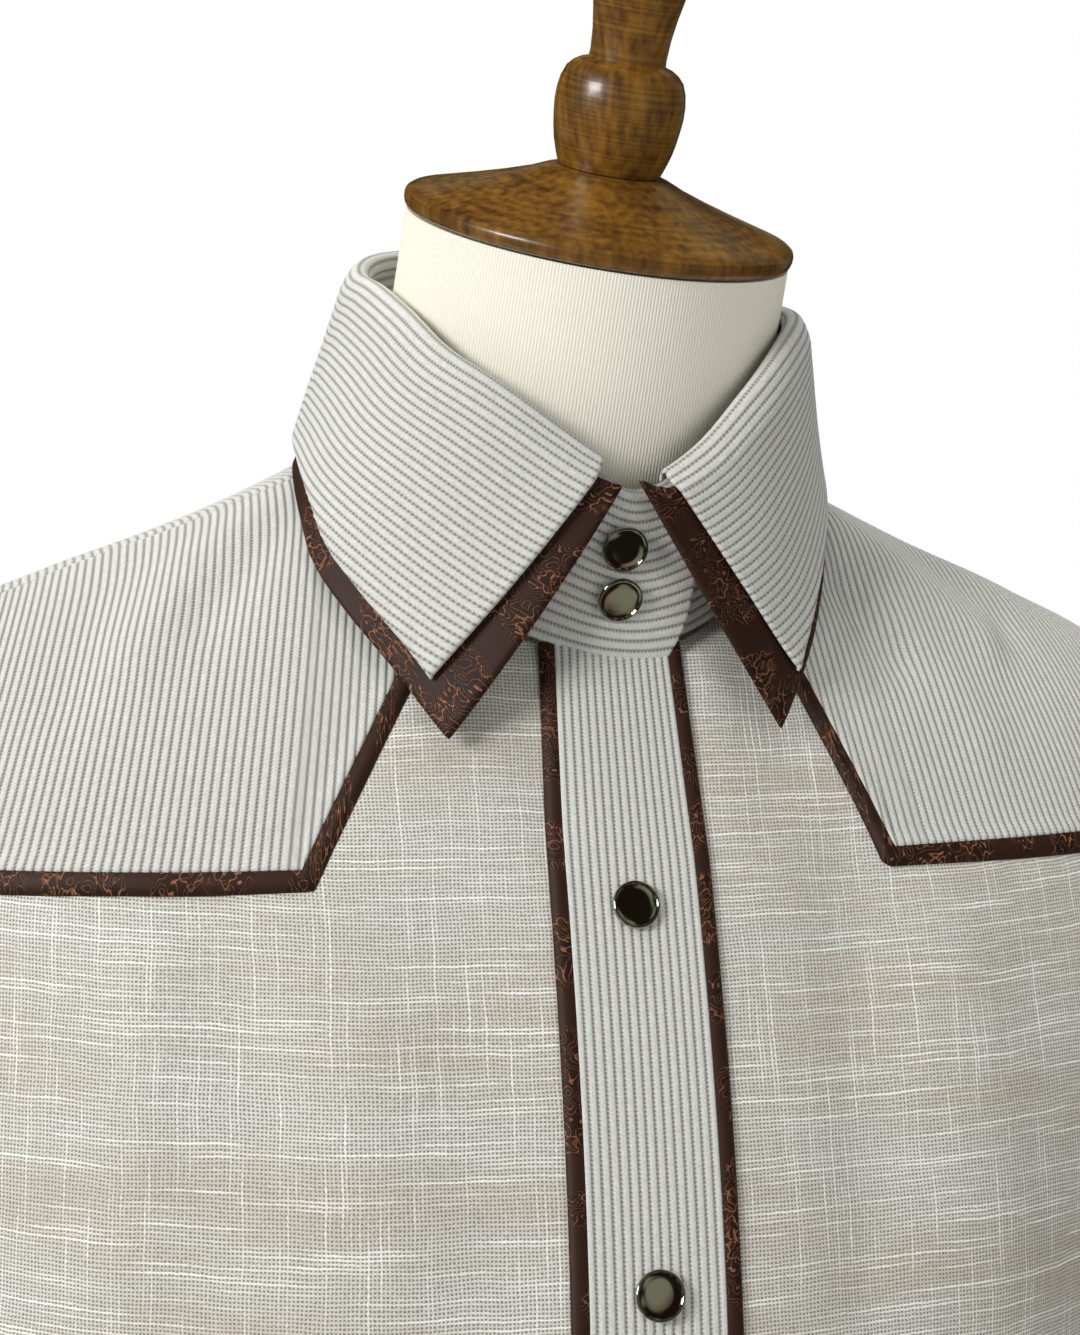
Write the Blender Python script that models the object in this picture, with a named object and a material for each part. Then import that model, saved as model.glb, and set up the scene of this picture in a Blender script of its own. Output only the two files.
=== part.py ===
"""A western snap shirt standing on a limbless dress form.

Metres, +Z up. The front faces -Y, so the wearer's right is at -X. The origin is the centre of
the base's underside. The shirt is built from its own pieces, each cut along columns that run
down the body and laid on one smooth body surface, which is a stack of rings.
"""

from collections import namedtuple
import math

import bmesh
import bpy
import numpy as np
from mathutils import Matrix, Vector

# Cloth
LINEN = 0.0010
CORDUROY = 0.0015
BROCADE = 0.0010
GAP = 0.0003
ON_LINEN = LINEN + GAP
PIPING_SEAM = 0.00045  # between a piping and the linen below it

# The body that the shirt's inner face follows. "level" is the distance down the centre front
# from the neck seam, and each ring gives its front, side and back points at that level.
Ring = namedtuple(
    "Ring", "level front_y front_z side_x side_y side_z back_y back_z square bow"
)
BODY_RINGS = (
    Ring(0.000, -0.077, 1.393, 0.068, -0.010, 1.438, 0.060, 1.462, 0.00, 2),
    Ring(0.040, -0.095, 1.357, 0.104, -0.010, 1.422, 0.080, 1.436, -0.04, 2),
    Ring(0.080, -0.113, 1.321, 0.142, -0.008, 1.407, 0.095, 1.400, -0.04, 2),
    Ring(0.120, -0.129, 1.284, 0.180, -0.006, 1.387, 0.105, 1.362, -0.02, 2),
    Ring(0.150, -0.139, 1.256, 0.196, -0.004, 1.360, 0.108, 1.332, 0.00, 2),
    Ring(0.180, -0.147, 1.227, 0.198, -0.002, 1.318, 0.110, 1.300, 0.02, 2),
    Ring(0.215, -0.150, 1.192, 0.193, 0.000, 1.262, 0.110, 1.260, 0.04, 2),
    Ring(0.270, -0.147, 1.137, 0.188, 0.000, 1.185, 0.107, 1.185, 0.06, 2),
    Ring(0.400, -0.134, 1.008, 0.180, 0.000, 1.020, 0.104, 1.020, 0.06, 2),
    Ring(0.520, -0.132, 0.888, 0.184, 0.000, 0.880, 0.108, 0.880, 0.05, 2),
    Ring(0.640, -0.136, 0.768, 0.192, 0.000, 0.770, 0.114, 0.758, 0.05, 2),
)
SET_TILT = 0.025  # the shirt hangs a little lower on its right, in metres per metre across

# Columns are named by their angle round the underarm ring, 0 at the centre and 90 at the side.
UNDERARM = 0.215
NECKWARD = 1.83  # share of its distance from the centre that a column loses per metre upwards
HEM_CENTRE = 0.630
HEM_RISE = 0.070
HEM_TURN = 50.0
SIDE_COLUMN = 89.95
BACK_LEAN_FROM = 0.1075
NECK_EDGE = 0.0028  # the level of the panels' edges at the neck seam
STRIP_TOP = 0.0034  # and of the placket's

# Shoulder, armhole
SEAM_ANGLE = 84.0
SEAM_GAP_ANGLE = 0.15
ARMPIT = 0.250
SLEEVE_GAP = 0.0020
SEAM_END = 0.122
TIP_LEVEL = 0.125
BACK_TIP_LEVEL = 0.127
ARM_COLUMN = 61.0

# Front yoke: its point and where its slanting edge leaves the neck seam, for each side
YokePoint = namedtuple("YokePoint", "point_x neck_x")
YOKE_POINTS = {
    -1: YokePoint(0.0810, 0.0475),
    1: YokePoint(0.0735, 0.0500),
}
YOKE_HEIGHT = 1.3404
YOKE_TILT = 0.020
BackYokePoint = namedtuple("BackYokePoint", "column level")
BACK_YOKE_EDGE = (
    BackYokePoint(0, 0.165),
    BackYokePoint(28, 0.132),
    BackYokePoint(ARM_COLUMN, 0.150),
)
PIPING = 0.0034

# Placket and snaps
PLACKET_HALF = 0.0172
PLACKET_PIPING = 0.0035
UNDERLAP_X = 0.0150
SNAP_RADIUS = 0.0060
FIRST_SNAP = 0.070
SNAP_PITCH = 0.092
SNAP_COUNT = 6
STAND_SNAP_SHARES = (0.36, 0.665)  # up the collar stand
STAND_SNAP_ANGLE = 360.0
SNAP_SEAT = 0.00045  # from the cloth up to a snap, on the placket, the stand and the cuffs
STAND_SNAP_SEAT = 0.0009
CUFF_SNAP_SEAT = 0.0006

# Collar
COLLAR_AXIS_TILT = math.radians(22)
COLLAR_AXIS = np.array([0, -math.sin(COLLAR_AXIS_TILT), math.cos(COLLAR_AXIS_TILT)])
NECK_CENTRE = np.array([0, -0.012, 1.440])
BAND_ENDS = (-11.5, 377.0)  # unrolled angles of the under end and the upper end
BAND_LOW = 0.036  # share of the band's height at which its cloth starts, above the seam
BAND_ROUNDING = 3.0  # how far its upper end's corners are cut back, in degrees
BandLift = namedtuple("BandLift", "unrolled out")
BAND_LIFTS = (
    BandLift(-12, 0.0002),
    BandLift(16, 0.0002),
    BandLift(50, 0.0010),
    BandLift(310, 0.0010),
    BandLift(344, 0.0021),
    BandLift(377, 0.0021),
)
# The top of the band, on which the collar turns over
FoldPoint = namedtuple("FoldPoint", "angle x y z")
FOLD = (
    FoldPoint(-180, 0.0000, 0.0420, 1.5010),
    FoldPoint(-165, -0.0155, 0.0408, 1.5008),
    FoldPoint(-150, -0.0300, 0.0370, 1.5000),
    FoldPoint(-120, -0.0485, 0.0175, 1.4950),
    FoldPoint(-90, -0.0558, -0.0120, 1.4865),
    FoldPoint(-75, -0.0552, -0.0350, 1.4820),
    FoldPoint(-60, -0.0515, -0.0550, 1.4745),
    FoldPoint(-45, -0.0446, -0.0695, 1.4645),
    FoldPoint(-30, -0.0332, -0.0785, 1.4560),
    FoldPoint(-15, -0.0180, -0.0835, 1.4455),
    FoldPoint(-5, -0.0065, -0.0855, 1.4375),
    FoldPoint(0, 0.0000, -0.0855, 1.4345),
    FoldPoint(5, 0.0060, -0.0840, 1.4350),
    FoldPoint(15, 0.0180, -0.0825, 1.4430),
    FoldPoint(30, 0.0325, -0.0780, 1.4585),
    FoldPoint(45, 0.0436, -0.0697, 1.4715),
    FoldPoint(60, 0.0520, -0.0556, 1.4800),
    FoldPoint(75, 0.0548, -0.0355, 1.4845),
    FoldPoint(90, 0.0558, -0.0130, 1.4875),
    FoldPoint(120, 0.0500, 0.0170, 1.4955),
    FoldPoint(150, 0.0310, 0.0370, 1.5005),
    FoldPoint(165, 0.0160, 0.0408, 1.5008),
    FoldPoint(180, 0.0000, 0.0420, 1.5010),
)
ROLL_INNER = (0.0006, 0.0008)  # out from the band's inner face and up from its top
ROLL_TOP = (0.0024, 0.0030)
LeafLift = namedtuple("LeafLift", "angle out")
LEAF_LIFTS = (
    LeafLift(0, 0.0049),
    LeafLift(20, 0.0049),
    LeafLift(55, 0.0039),
    LeafLift(180, 0.0039),
)
LEAF_FRONTS = {-1: 1.5, 1: 1.1}
LEAF_ROLL = 0.001
LEAF_GAP = 0.0023
LEAF_TIP = 26.0
LEAF_START = 0.03  # share of the leaf's length that the turn at the fold takes
LEAF_LENGTHS = (0.065, 0.080)  # from the fold to the outer edge, at the back and at the front
LEAF_FOLD_RUN = 0.215  # from the centre back to a front corner, along the fold
LEAF_EDGE_RUN = 0.237  # and along the outer edge
FRONT_RISES = {-1: 0.0035, 1: 0.0045}  # how far the front corners stand up from the band
FRONT_RISE_FROM = 0.90
ROLL_PUSH = (0.8, 0.6)  # the way the leaf bows: out from the neck, and up
TIP_PULLS = {-1: 0.003, 1: 0.001}  # how far each front edge bows toward the centre
TIP_PULL_FROM = 0.75
LeafEdge = namedtuple("LeafEdge", "angle right_level left_level lift")
LEAF_EDGE = (
    LeafEdge(26, 0.044, 0.041, 0.0060),
    LeafEdge(36, 0.036, 0.0305, 0.0060),
    LeafEdge(46, 0.031, 0.0210, 0.0055),
    LeafEdge(55, 0.026, 0.015, 0.0045),
    LeafEdge(63, 0.019, 0.011, 0.0040),
    LeafEdge(90, 0.005, 0.006, 0.0035),
    LeafEdge(135, 0.006, 0.006, 0.0040),
    LeafEdge(180, 0.010, 0.010, 0.0050),
)
# How far the under collar shows beyond the leaf: at the fold's corners, and along the outer edge
# from a front corner, at the sides and at the tips
BORDER_TOPS = {-1: 0.0052, 1: 0.0082}
BORDER_FRONTS = {-1: 0.0086, 1: 0.0095}
BORDER_SIDE = 0.0066
BORDER_TIPS = {-1: 0.0056, 1: 0.0030}
BORDER_TIP_FROM = 0.7

# Sleeves, hanging empty: each row is one ring, by its inner, outer, front and back points.
SleeveRing = namedtuple("SleeveRing", "inner_x inner_z outer_x outer_z front_y back_y")
SLEEVE_RINGS = (
    SleeveRing(0.1985, 1.2100, 0.2000, 1.3840, -0.0700, 0.0600),
    SleeveRing(0.2000, 1.1990, 0.2190, 1.3740, -0.0730, 0.0640),
    SleeveRing(0.2010, 1.1900, 0.2370, 1.3520, -0.0750, 0.0670),
    SleeveRing(0.2010, 1.1780, 0.2480, 1.3170, -0.0760, 0.0680),
    SleeveRing(0.2010, 1.1250, 0.2550, 1.1950, -0.0730, 0.0640),
    SleeveRing(0.2010, 1.0750, 0.2530, 1.1050, -0.0700, 0.0600),
    SleeveRing(0.2010, 1.0050, 0.2500, 1.0150, -0.0670, 0.0530),
    SleeveRing(0.2015, 0.8650, 0.2440, 0.8650, -0.0620, 0.0380),
)
CUFF_RINGS = (
    SleeveRing(0.2020, 0.8644, 0.2430, 0.8644, -0.0600, 0.0360),
    SleeveRing(0.2025, 0.8320, 0.2420, 0.8320, -0.0590, 0.0340),
    SleeveRing(0.2025, 0.8000, 0.2420, 0.8000, -0.0590, 0.0330),
)
SLEEVE_CENTRE = (0.225, -0.005)

# Dress form, stand and turned wood
FORM_SHOULDER_GAP = 0.0021
FORM_SHOULDER_LEVEL = 0.150  # above it the form comes up to the cloth at its sides
FORM_SHOULDER_RISE = 0.045
FORM_BOTTOM = 0.870
FORM_BOTTOM_EASE = 0.030
FORM_BOTTOM_LEVEL = 0.530
FormRing = namedtuple("FormRing", "level ease")
FORM_RINGS = (
    FormRing(0.520, 0.027),
    FormRing(0.470, 0.030),
    FormRing(0.400, 0.032),
    FormRing(0.330, 0.028),
    FormRing(0.270, 0.020),
    FormRing(0.215, 0.013),
    FormRing(0.180, 0.010),
    FormRing(0.150, 0.008),
    FormRing(0.120, 0.007),
    FormRing(0.090, 0.006),
    FormRing(0.060, 0.006),
    FormRing(0.035, 0.006),
    FormRing(0.018, 0.006),
)
NECK_TOP = np.array([0.0008, -0.0458, 1.5068])
NECK_TILT = math.radians(23.4)  # of the neck's axis
WOOD_TILT = math.radians(18.3)
WOOD_LEAN = math.radians(2.2)  # to the wearer's left
# The neck's rings turn from square to its own axis to square to the wood's
NeckRing = namedtuple("NeckRing", "below radius tilt lean")
NECK_RINGS = (
    NeckRing(0.086, 0.0610, NECK_TILT, 0.0),
    NeckRing(0.070, 0.0565, NECK_TILT, 0.0),
    NeckRing(0.045, 0.0540, NECK_TILT * 0.7 + WOOD_TILT * 0.3, WOOD_LEAN * 0.3),
    NeckRing(0.0043, 0.0522, WOOD_TILT, WOOD_LEAN),
)
Turned = namedtuple("Turned", "radius height")
CAP_PROFILE = (
    Turned(0.0000, -0.0040),
    Turned(0.0515, -0.0040),
    Turned(0.0531, -0.0026),
    Turned(0.0532, -0.0005),
    Turned(0.0518, 0.0008),
    Turned(0.0300, 0.0078),
    Turned(0.0145, 0.0132),
    Turned(0.0000, 0.0132),
)
FINIAL_PROFILE = (
    Turned(0.0000, 0.0135),
    Turned(0.0139, 0.0135),
    Turned(0.0158, 0.0187),
    Turned(0.0169, 0.0243),
    Turned(0.0173, 0.0304),
    Turned(0.0170, 0.0347),
    Turned(0.0156, 0.0384),
    Turned(0.0128, 0.0408),
    Turned(0.0103, 0.0422),
    Turned(0.0104, 0.0487),
    Turned(0.0124, 0.0597),
    Turned(0.0150, 0.0717),
    Turned(0.0158, 0.0817),
    Turned(0.0140, 0.0907),
    Turned(0.0080, 0.0967),
    Turned(0.0000, 0.0987),
)
BASE_RADIUS = 0.180
BASE_HEIGHT = 0.020
BASE_CHAMFER = 0.002
POLE_RADIUS = 0.016

# Fineness of the meshes
FRONT_ROWS = 18
BACK_ROWS = 12
YOKE_ROWS = 7
BACK_YOKE_ROWS = 7
CUFF_SIDES = 18
BAND_COLUMNS = 38
LEAF_COLUMNS = 35
LEAF_ROWS = 4
BAND_ROWS = 4
SNAP_SIDES = 12
FINIAL_SIDES = 20
POLE_SIDES = 16
ROUND_SIDES = 32
FINE_STEPS = 60
RIDGE_STEPS = 8
FRONT_SPACING = 8.0  # degrees between columns at the most
FRONT_YOKE_SPACING = 5.0
BACK_SPACING = 11.0
BACK_YOKE_SPACING = 7.0
SEAM_CLEAR_COLUMN = 1.0
FORM_SIDES = 28

Finish = namedtuple("Finish", "colour roughness metallic")
FINISHES = {
    "linen": Finish((0.62, 0.59, 0.53), 0.85, 0.0),
    "corduroy": Finish((0.72, 0.72, 0.69), 0.90, 0.0),
    "brocade": Finish((0.10, 0.04, 0.022), 0.50, 0.0),
    "nickel": Finish((0.75, 0.75, 0.76), 0.12, 1.0),
    "jersey": Finish((0.80, 0.76, 0.65), 0.90, 0.0),
    "wood": Finish((0.22, 0.10, 0.03), 0.35, 0.0),
    "steel": Finish((0.05, 0.05, 0.05), 0.45, 0.0),
}


def smooth(x, xs, ys):
    """A smooth curve through a table's points."""
    xs, ys = np.asarray(xs, float), np.asarray(ys, float)
    x = np.clip(np.asarray(x, float), xs[0], xs[-1])
    slopes = np.gradient(ys, xs)
    i = np.clip(np.searchsorted(xs, x) - 1, 0, len(xs) - 2)
    span = xs[i + 1] - xs[i]
    u = (x - xs[i]) / span
    start = (1 + 2 * u) * (1 - u) ** 2 * ys[i] + u * (1 - u) ** 2 * span * slopes[i]
    end = u**2 * (3 - 2 * u) * ys[i + 1] + u**2 * (u - 1) * span * slopes[i + 1]
    return start + end


RING_COLUMNS = np.array(BODY_RINGS, float).T
LEVELS = RING_COLUMNS[0]


def ring_values(level):
    """The ring's nine measures at any level, from the table."""
    return np.stack([smooth(level, LEVELS, column) for column in RING_COLUMNS[1:]], -1)


def ring_point(values, angle):
    """The point of a ring at an angle in degrees: 0 is the front, +-90 a side, 180 the back."""
    front_y, front_z, side_x, side_y, side_z, back_y, back_z, square, bow = np.moveaxis(
        values, -1, 0
    )
    behind = np.abs(angle) > 90
    turn = np.radians(np.minimum(np.abs(angle), 180 - np.abs(angle)))
    bend = np.where(behind, np.maximum(square, 0), square) * np.sin(2 * turn)
    depth = np.clip(np.cos(turn - bend), 0, 1)
    x = np.sign(angle) * side_x * np.sin(turn + bend)
    y = side_y + (np.where(behind, back_y, front_y) - side_y) * depth
    z = side_z + (np.where(behind, back_z, front_z) - side_z) * depth**bow
    return np.stack([x, y, z + SET_TILT * x], -1)


def body(angle, level):
    angle, level = np.broadcast_arrays(np.asarray(angle, float), np.asarray(level, float))
    return ring_point(ring_values(level), angle)


def unit(vectors):
    return vectors / np.maximum(np.linalg.norm(vectors, axis=-1, keepdims=True), 1e-12)


def body_normal(angle, level):
    """The outward normal, from small steps round and down the surface."""
    round_step, down_step = 0.2, 0.0005
    round_it = body(angle + round_step, level) - body(angle - round_step, level)
    down_it = body(angle, level + down_step) - body(angle, np.maximum(level - down_step, 0))
    return unit(np.cross(down_it, round_it))


def on_body(angle, level, lift=0.0):
    lift = np.asarray(lift, float)
    return body(angle, level) + body_normal(angle, level) * lift[..., None]


def side_x(level):
    return smooth(level, LEVELS, RING_COLUMNS[3])


def column_of(x):
    """The column that stands x from the centre at the underarm ring."""
    return np.degrees(np.arcsin(x / side_x(UNDERARM)))


def angle_at(x, level):
    """The ring angle, counted from the centre line, at which a ring is x from the centre."""
    square = smooth(level, LEVELS, RING_COLUMNS[8])
    straight = np.arcsin(np.clip(np.abs(x) / side_x(level), 0, 1))
    turn = straight
    for _ in range(12):
        turn = straight - square * np.sin(2 * turn)
    return np.sign(x) * np.degrees(turn)


def yoke_bottom(column):
    """The level of each column at the height of the front yoke's lower edge."""
    x = side_x(UNDERARM) * np.sin(np.radians(np.atleast_1d(column)))
    levels = np.linspace(0, UNDERARM, FINE_STEPS)
    found = []
    for each in x:
        heights = body(angle_at(each, levels), levels)[:, 2] - SET_TILT * each
        wanted = YOKE_HEIGHT + YOKE_TILT * each
        found.append(np.interp(-wanted, -heights, levels))
    return np.array(found)


def column_x(column, level, lean_from):
    """How far a column is from the centre at a level: it leans to the neck above lean_from."""
    reach = np.sin(np.radians(column))
    x = side_x(UNDERARM) * reach * (1 - NECKWARD * np.maximum(lean_from - level, 0))
    growth = side_x(np.maximum(level, UNDERARM)) / side_x(UNDERARM) - 1
    return x * (1 + reach**2 * growth)


def front_angle(column, level):
    return angle_at(column_x(column, level, yoke_bottom(column[:, 0])[:, None]), level)


def back_angle(column, level):
    turned = angle_at(column_x(column, level, BACK_LEAN_FROM), level)
    return np.where(turned < 0, -180 - turned, 180 - turned)


def shoulder_level(columns, angle_of):
    """The level at which each column reaches the shoulder seam, or the neck seam's edge."""
    levels = np.linspace(NECK_EDGE, BACK_TIP_LEVEL, FINE_STEPS * 2)
    found = []
    for column in columns:
        angles = np.abs(angle_of(np.full((1, len(levels)), column), levels[None, :]))[0]
        turned = np.minimum(angles, 180 - angles)
        found.append(np.interp(SEAM_GAP_ANGLE - SEAM_ANGLE, -turned, levels))
    return np.array(found)


def corner_level(side):
    """The level of the yoke's point."""
    return yoke_bottom(side * column_of(YOKE_POINTS[side].point_x))[0]


def yoke_slant(side):
    """Length along a column that each metre across the slanting edge takes."""
    point = YOKE_POINTS[side]
    return math.hypot(1, corner_level(side) / (point.point_x - point.neck_x))


def yoke_edge(column, margin=0.0):
    """The front yoke's lower edge: a slanting run from the neck, then a level one."""
    side = -1 if np.sum(column) < 0 else 1
    point = YOKE_POINTS[side]
    x = side_x(UNDERARM) * np.sin(np.radians(np.abs(column)))
    run = (x - point.neck_x) / (point.point_x - point.neck_x)
    slanting = run * corner_level(side) + margin * yoke_slant(side)
    return np.maximum(np.minimum(slanting, yoke_bottom(column) + margin), NECK_EDGE)


def yoke_turns(side, margin):
    """The columns where an edge at a margin leaves the neck seam and where it turns level."""
    point, corner = YOKE_POINTS[side], corner_level(side)
    reach = point.point_x - point.neck_x
    slant = yoke_slant(side)
    leaves = point.neck_x + reach * (NECK_EDGE - slant * margin) / corner
    turns = point.point_x - reach * (slant - 1) * margin / corner
    return [column_of(leaves), column_of(turns)]


def back_yoke_edge(column, margin=0.0):
    table = np.array(BACK_YOKE_EDGE)
    return np.interp(np.abs(column), table[:, 0], table[:, 1]) + margin


def above_armhole(column, edge, tip, tip_level):
    """The lower end of a yoke's columns: its own edge, then the armhole's upper half."""
    deepest = edge[column == ARM_COLUMN][0]
    share = np.clip((column - ARM_COLUMN) / (tip - ARM_COLUMN), 0, 1)
    return np.where(column > ARM_COLUMN, deepest + (tip_level - deepest) * np.sqrt(share), edge)


def below_armhole(column, edge, deepest):
    """The upper end of a linen panel's columns: its edge, then the armhole's lower half."""
    share = np.clip((np.abs(column) - ARM_COLUMN) / (SIDE_COLUMN - ARM_COLUMN), 0, 1)
    lower_half = deepest + (ARMPIT - deepest) * np.sqrt(1 - (1 - share) ** 2)
    return np.where(np.abs(column) > ARM_COLUMN, lower_half, edge)


def seam_column(level, side=None):
    """The column that meets the shoulder seam at a level: a back one, or a front one of a side."""
    wanted = side_x(level) * math.sin(math.radians(SEAM_ANGLE))
    columns = np.linspace(10.0, 89.9, FINE_STEPS * 2)
    lean_from = yoke_bottom(side * columns) if side else BACK_LEAN_FROM
    return float(np.interp(wanted, column_x(columns, level, lean_from), columns))


def hem(column):
    share = np.clip((np.abs(column) - HEM_TURN) / (90 - HEM_TURN), 0, 1)
    return HEM_CENTRE - HEM_RISE * share**2 * (3 - 2 * share)


def even(angles, levels, rows):
    """Points spaced evenly along each column's path of angles and levels."""
    steps = np.linalg.norm(np.diff(body(angles, levels), axis=1), axis=-1)
    along = np.concatenate([np.zeros((len(steps), 1)), np.cumsum(steps, axis=1)], axis=1)
    shares = np.linspace(0, 1, rows)
    picked = []
    for track, angle, level in zip(along, angles, levels):
        wanted = shares * track[-1]
        picked.append((np.interp(wanted, track, angle), np.interp(wanted, track, level)))
    picked = np.array(picked)
    return picked[:, 0], picked[:, 1]


def down_columns(columns, start, end, rows, angle_of):
    """Angles and levels of a panel's points, from its start level to its end level."""
    share = np.linspace(0, 1, FINE_STEPS) ** 2
    levels = start[:, None] + (np.maximum(end, start) - start)[:, None] * share
    angles = angle_of(columns[:, None] + 0 * levels, levels)
    return even(angles, levels, rows)


def spread(keys, longest):
    """The key columns with others set evenly between them, no further apart than longest."""
    found = [keys[0]]
    for a, b in zip(keys, keys[1:]):
        count = max(1, math.ceil((b - a) / longest))
        found.extend(np.linspace(a, b, count + 1)[1:])
    return np.array(found)


def finish(name):
    material = bpy.data.materials.get(name)
    if material:
        return material
    material = bpy.data.materials.new(name)
    material.use_nodes = True
    shader = material.node_tree.nodes["Principled BSDF"]
    shader.inputs["Base Color"].default_value = (*FINISHES[name].colour, 1)
    shader.inputs["Roughness"].default_value = FINISHES[name].roughness
    shader.inputs["Metallic"].default_value = FINISHES[name].metallic
    return material


def add_object(name, bm, material):
    mesh = bpy.data.meshes.new(name)
    bm.to_mesh(mesh)
    bm.free()
    mesh.materials.append(finish(material))
    piece = bpy.data.objects.new(name, mesh)
    bpy.context.scene.collection.objects.link(piece)
    return piece


def bend_grid(points, closed=False):
    """A grid bent onto points[column, row]; a closed one has its last column merged in."""
    columns, rows = points.shape[:2]
    bm = bmesh.new()
    bmesh.ops.create_grid(bm, x_segments=columns - 1, y_segments=rows - 1, size=0.5)
    for vert in bm.verts:
        column = round((vert.co.x + 0.5) * (columns - 1))
        row = round((vert.co.y + 0.5) * (rows - 1))
        vert.co = points[0 if closed and column == columns - 1 else column, row]
    bmesh.ops.remove_doubles(bm, verts=bm.verts, dist=1e-5)
    bmesh.ops.dissolve_degenerate(bm, edges=bm.edges, dist=1e-6)
    return bm


def face_away(bm, centre):
    """Turns the faces over if the mesh faces its own centre line more than away from it."""
    total = 0.0
    for face in bm.faces:
        middle = face.calc_center_median()
        away = middle - Vector((centre[0], centre[1], middle.z))
        total += face.normal.dot(away) * face.calc_area()
    if total < 0:
        bmesh.ops.reverse_faces(bm, faces=bm.faces)


def cloth(name, points, thickness, material, centre=(0.0, 0.0), closed=False):
    """A wall of cloth whose inner face is the grid of points."""
    bm = bend_grid(points, closed)
    bm.normal_update()
    face_away(bm, centre)
    piece = add_object(name, bm, material)
    wall = piece.modifiers.new("wall", "SOLIDIFY")
    wall.thickness = thickness
    wall.offset = 1
    wall.use_quality_normals = True
    piece.data.shade_smooth()
    return piece


def body_panel(name, columns, start, end, rows, angle_of, lift, thickness, material):
    angles, levels = down_columns(columns, start, end, rows, angle_of)
    return cloth(name, on_body(angles, levels, lift), thickness, material)


def front_columns(side, inner_x):
    """The linen front's columns and the level at which each starts."""
    inner = [np.sign(x) * column_of(abs(x)) for x in inner_x]
    under_strip = column_of(PLACKET_HALF + PLACKET_PIPING)
    margin = PIPING + PIPING_SEAM
    turns = yoke_turns(side, margin)
    columns = spread([*inner, under_strip, *turns, ARM_COLUMN, SIDE_COLUMN], FRONT_SPACING)
    signed = side * columns
    edge = np.where(columns > 0, yoke_edge(signed, margin), NECK_EDGE)
    return columns, below_armhole(signed, edge, edge[columns == ARM_COLUMN][0])


def make_front(name, side, inner_x):
    """One linen front, from its edge under the placket to the side seam."""
    columns, start = front_columns(side, inner_x)
    signed = side * columns
    return body_panel(
        name, signed, start, hem(columns), FRONT_ROWS, front_angle, 0.0, LINEN, "linen"
    )


def front_yoke_columns(side):
    """The front yoke's columns, with the corners of its outline among them, and their ends."""
    corners = [seam_column(NECK_EDGE, side), seam_column(SEAM_END, side)]
    columns = spread(sorted([*yoke_turns(side, -GAP), ARM_COLUMN, *corners]), FRONT_YOKE_SPACING)
    edge = yoke_edge(side * columns, -GAP)
    return columns, above_armhole(columns, edge, columns[-1], TIP_LEVEL)


def make_front_yoke(name, side):
    columns, end = front_yoke_columns(side)
    signed = side * columns
    start = shoulder_level(signed, front_angle)
    return body_panel(
        name, signed, start, end, YOKE_ROWS, front_angle, 0.0, CORDUROY, "corduroy"
    )


def make_front_piping(name, side):
    keys = yoke_turns(side, PIPING) + yoke_turns(side, 0.0) + [ARM_COLUMN]
    columns = spread(sorted(keys), FRONT_SPACING)
    signed = side * columns
    start = yoke_edge(signed)
    end = yoke_edge(signed, PIPING)
    return body_panel(
        name, signed, start, end, 2, front_angle, 0.0, BROCADE, "brocade"
    )


def make_strip(name, from_x, to_x, thickness, material, pieces):
    """A strip of the placket, laid on the fronts and running from the neck to the hem."""
    edges = np.linspace(from_x, to_x, pieces + 1)
    columns = np.array([np.sign(x) * column_of(abs(x)) for x in edges])
    start = np.full(len(columns), STRIP_TOP)
    end = np.full(len(columns), HEM_CENTRE)
    return body_panel(
        name, columns, start, end, FRONT_ROWS, front_angle, ON_LINEN, thickness, material
    )


def both_sides(half):
    return np.concatenate([-half[:0:-1], half])


def back_columns():
    """The linen back's columns on one side, and the level at which each starts."""
    columns = spread([0.0, BACK_YOKE_EDGE[1].column, ARM_COLUMN, SIDE_COLUMN], BACK_SPACING)
    edge = back_yoke_edge(columns, PIPING + PIPING_SEAM)
    return columns, below_armhole(columns, edge, edge[columns == ARM_COLUMN][0])


def make_back():
    half, half_start = back_columns()
    columns = both_sides(half)
    start = np.concatenate([half_start[:0:-1], half_start])
    return body_panel(
        "back", columns, start, hem(columns), BACK_ROWS, back_angle, 0.0, LINEN, "linen"
    )


def over_shoulder(column, last):
    """One column's path from the front shoulder seam over the ridge and down to its end."""
    levels = np.linspace(NECK_EDGE, last, FINE_STEPS * 2)
    reach = np.abs(column_x(column, levels, BACK_LEAN_FROM)) / side_x(levels)
    path_angles = back_angle(np.full((1, len(levels)), column), levels[None, :])[0][reach < 1]
    path_levels = levels[reach < 1]
    if reach[0] > math.sin(math.radians(SEAM_ANGLE - SEAM_GAP_ANGLE)):
        seam_to_ridge = np.linspace(SEAM_ANGLE + SEAM_GAP_ANGLE, 90, RIDGE_STEPS)
        crossing = np.interp(-np.sin(np.radians(seam_to_ridge)), -reach, levels)
        path_angles = np.concatenate([np.sign(column) * seam_to_ridge, path_angles])
        path_levels = np.concatenate([crossing, path_levels])
    shares = np.linspace(0, 1, len(path_levels))
    wanted = np.linspace(0, 1, FINE_STEPS * 2)
    return np.interp(wanted, shares, path_angles), np.interp(wanted, shares, path_levels)


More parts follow.
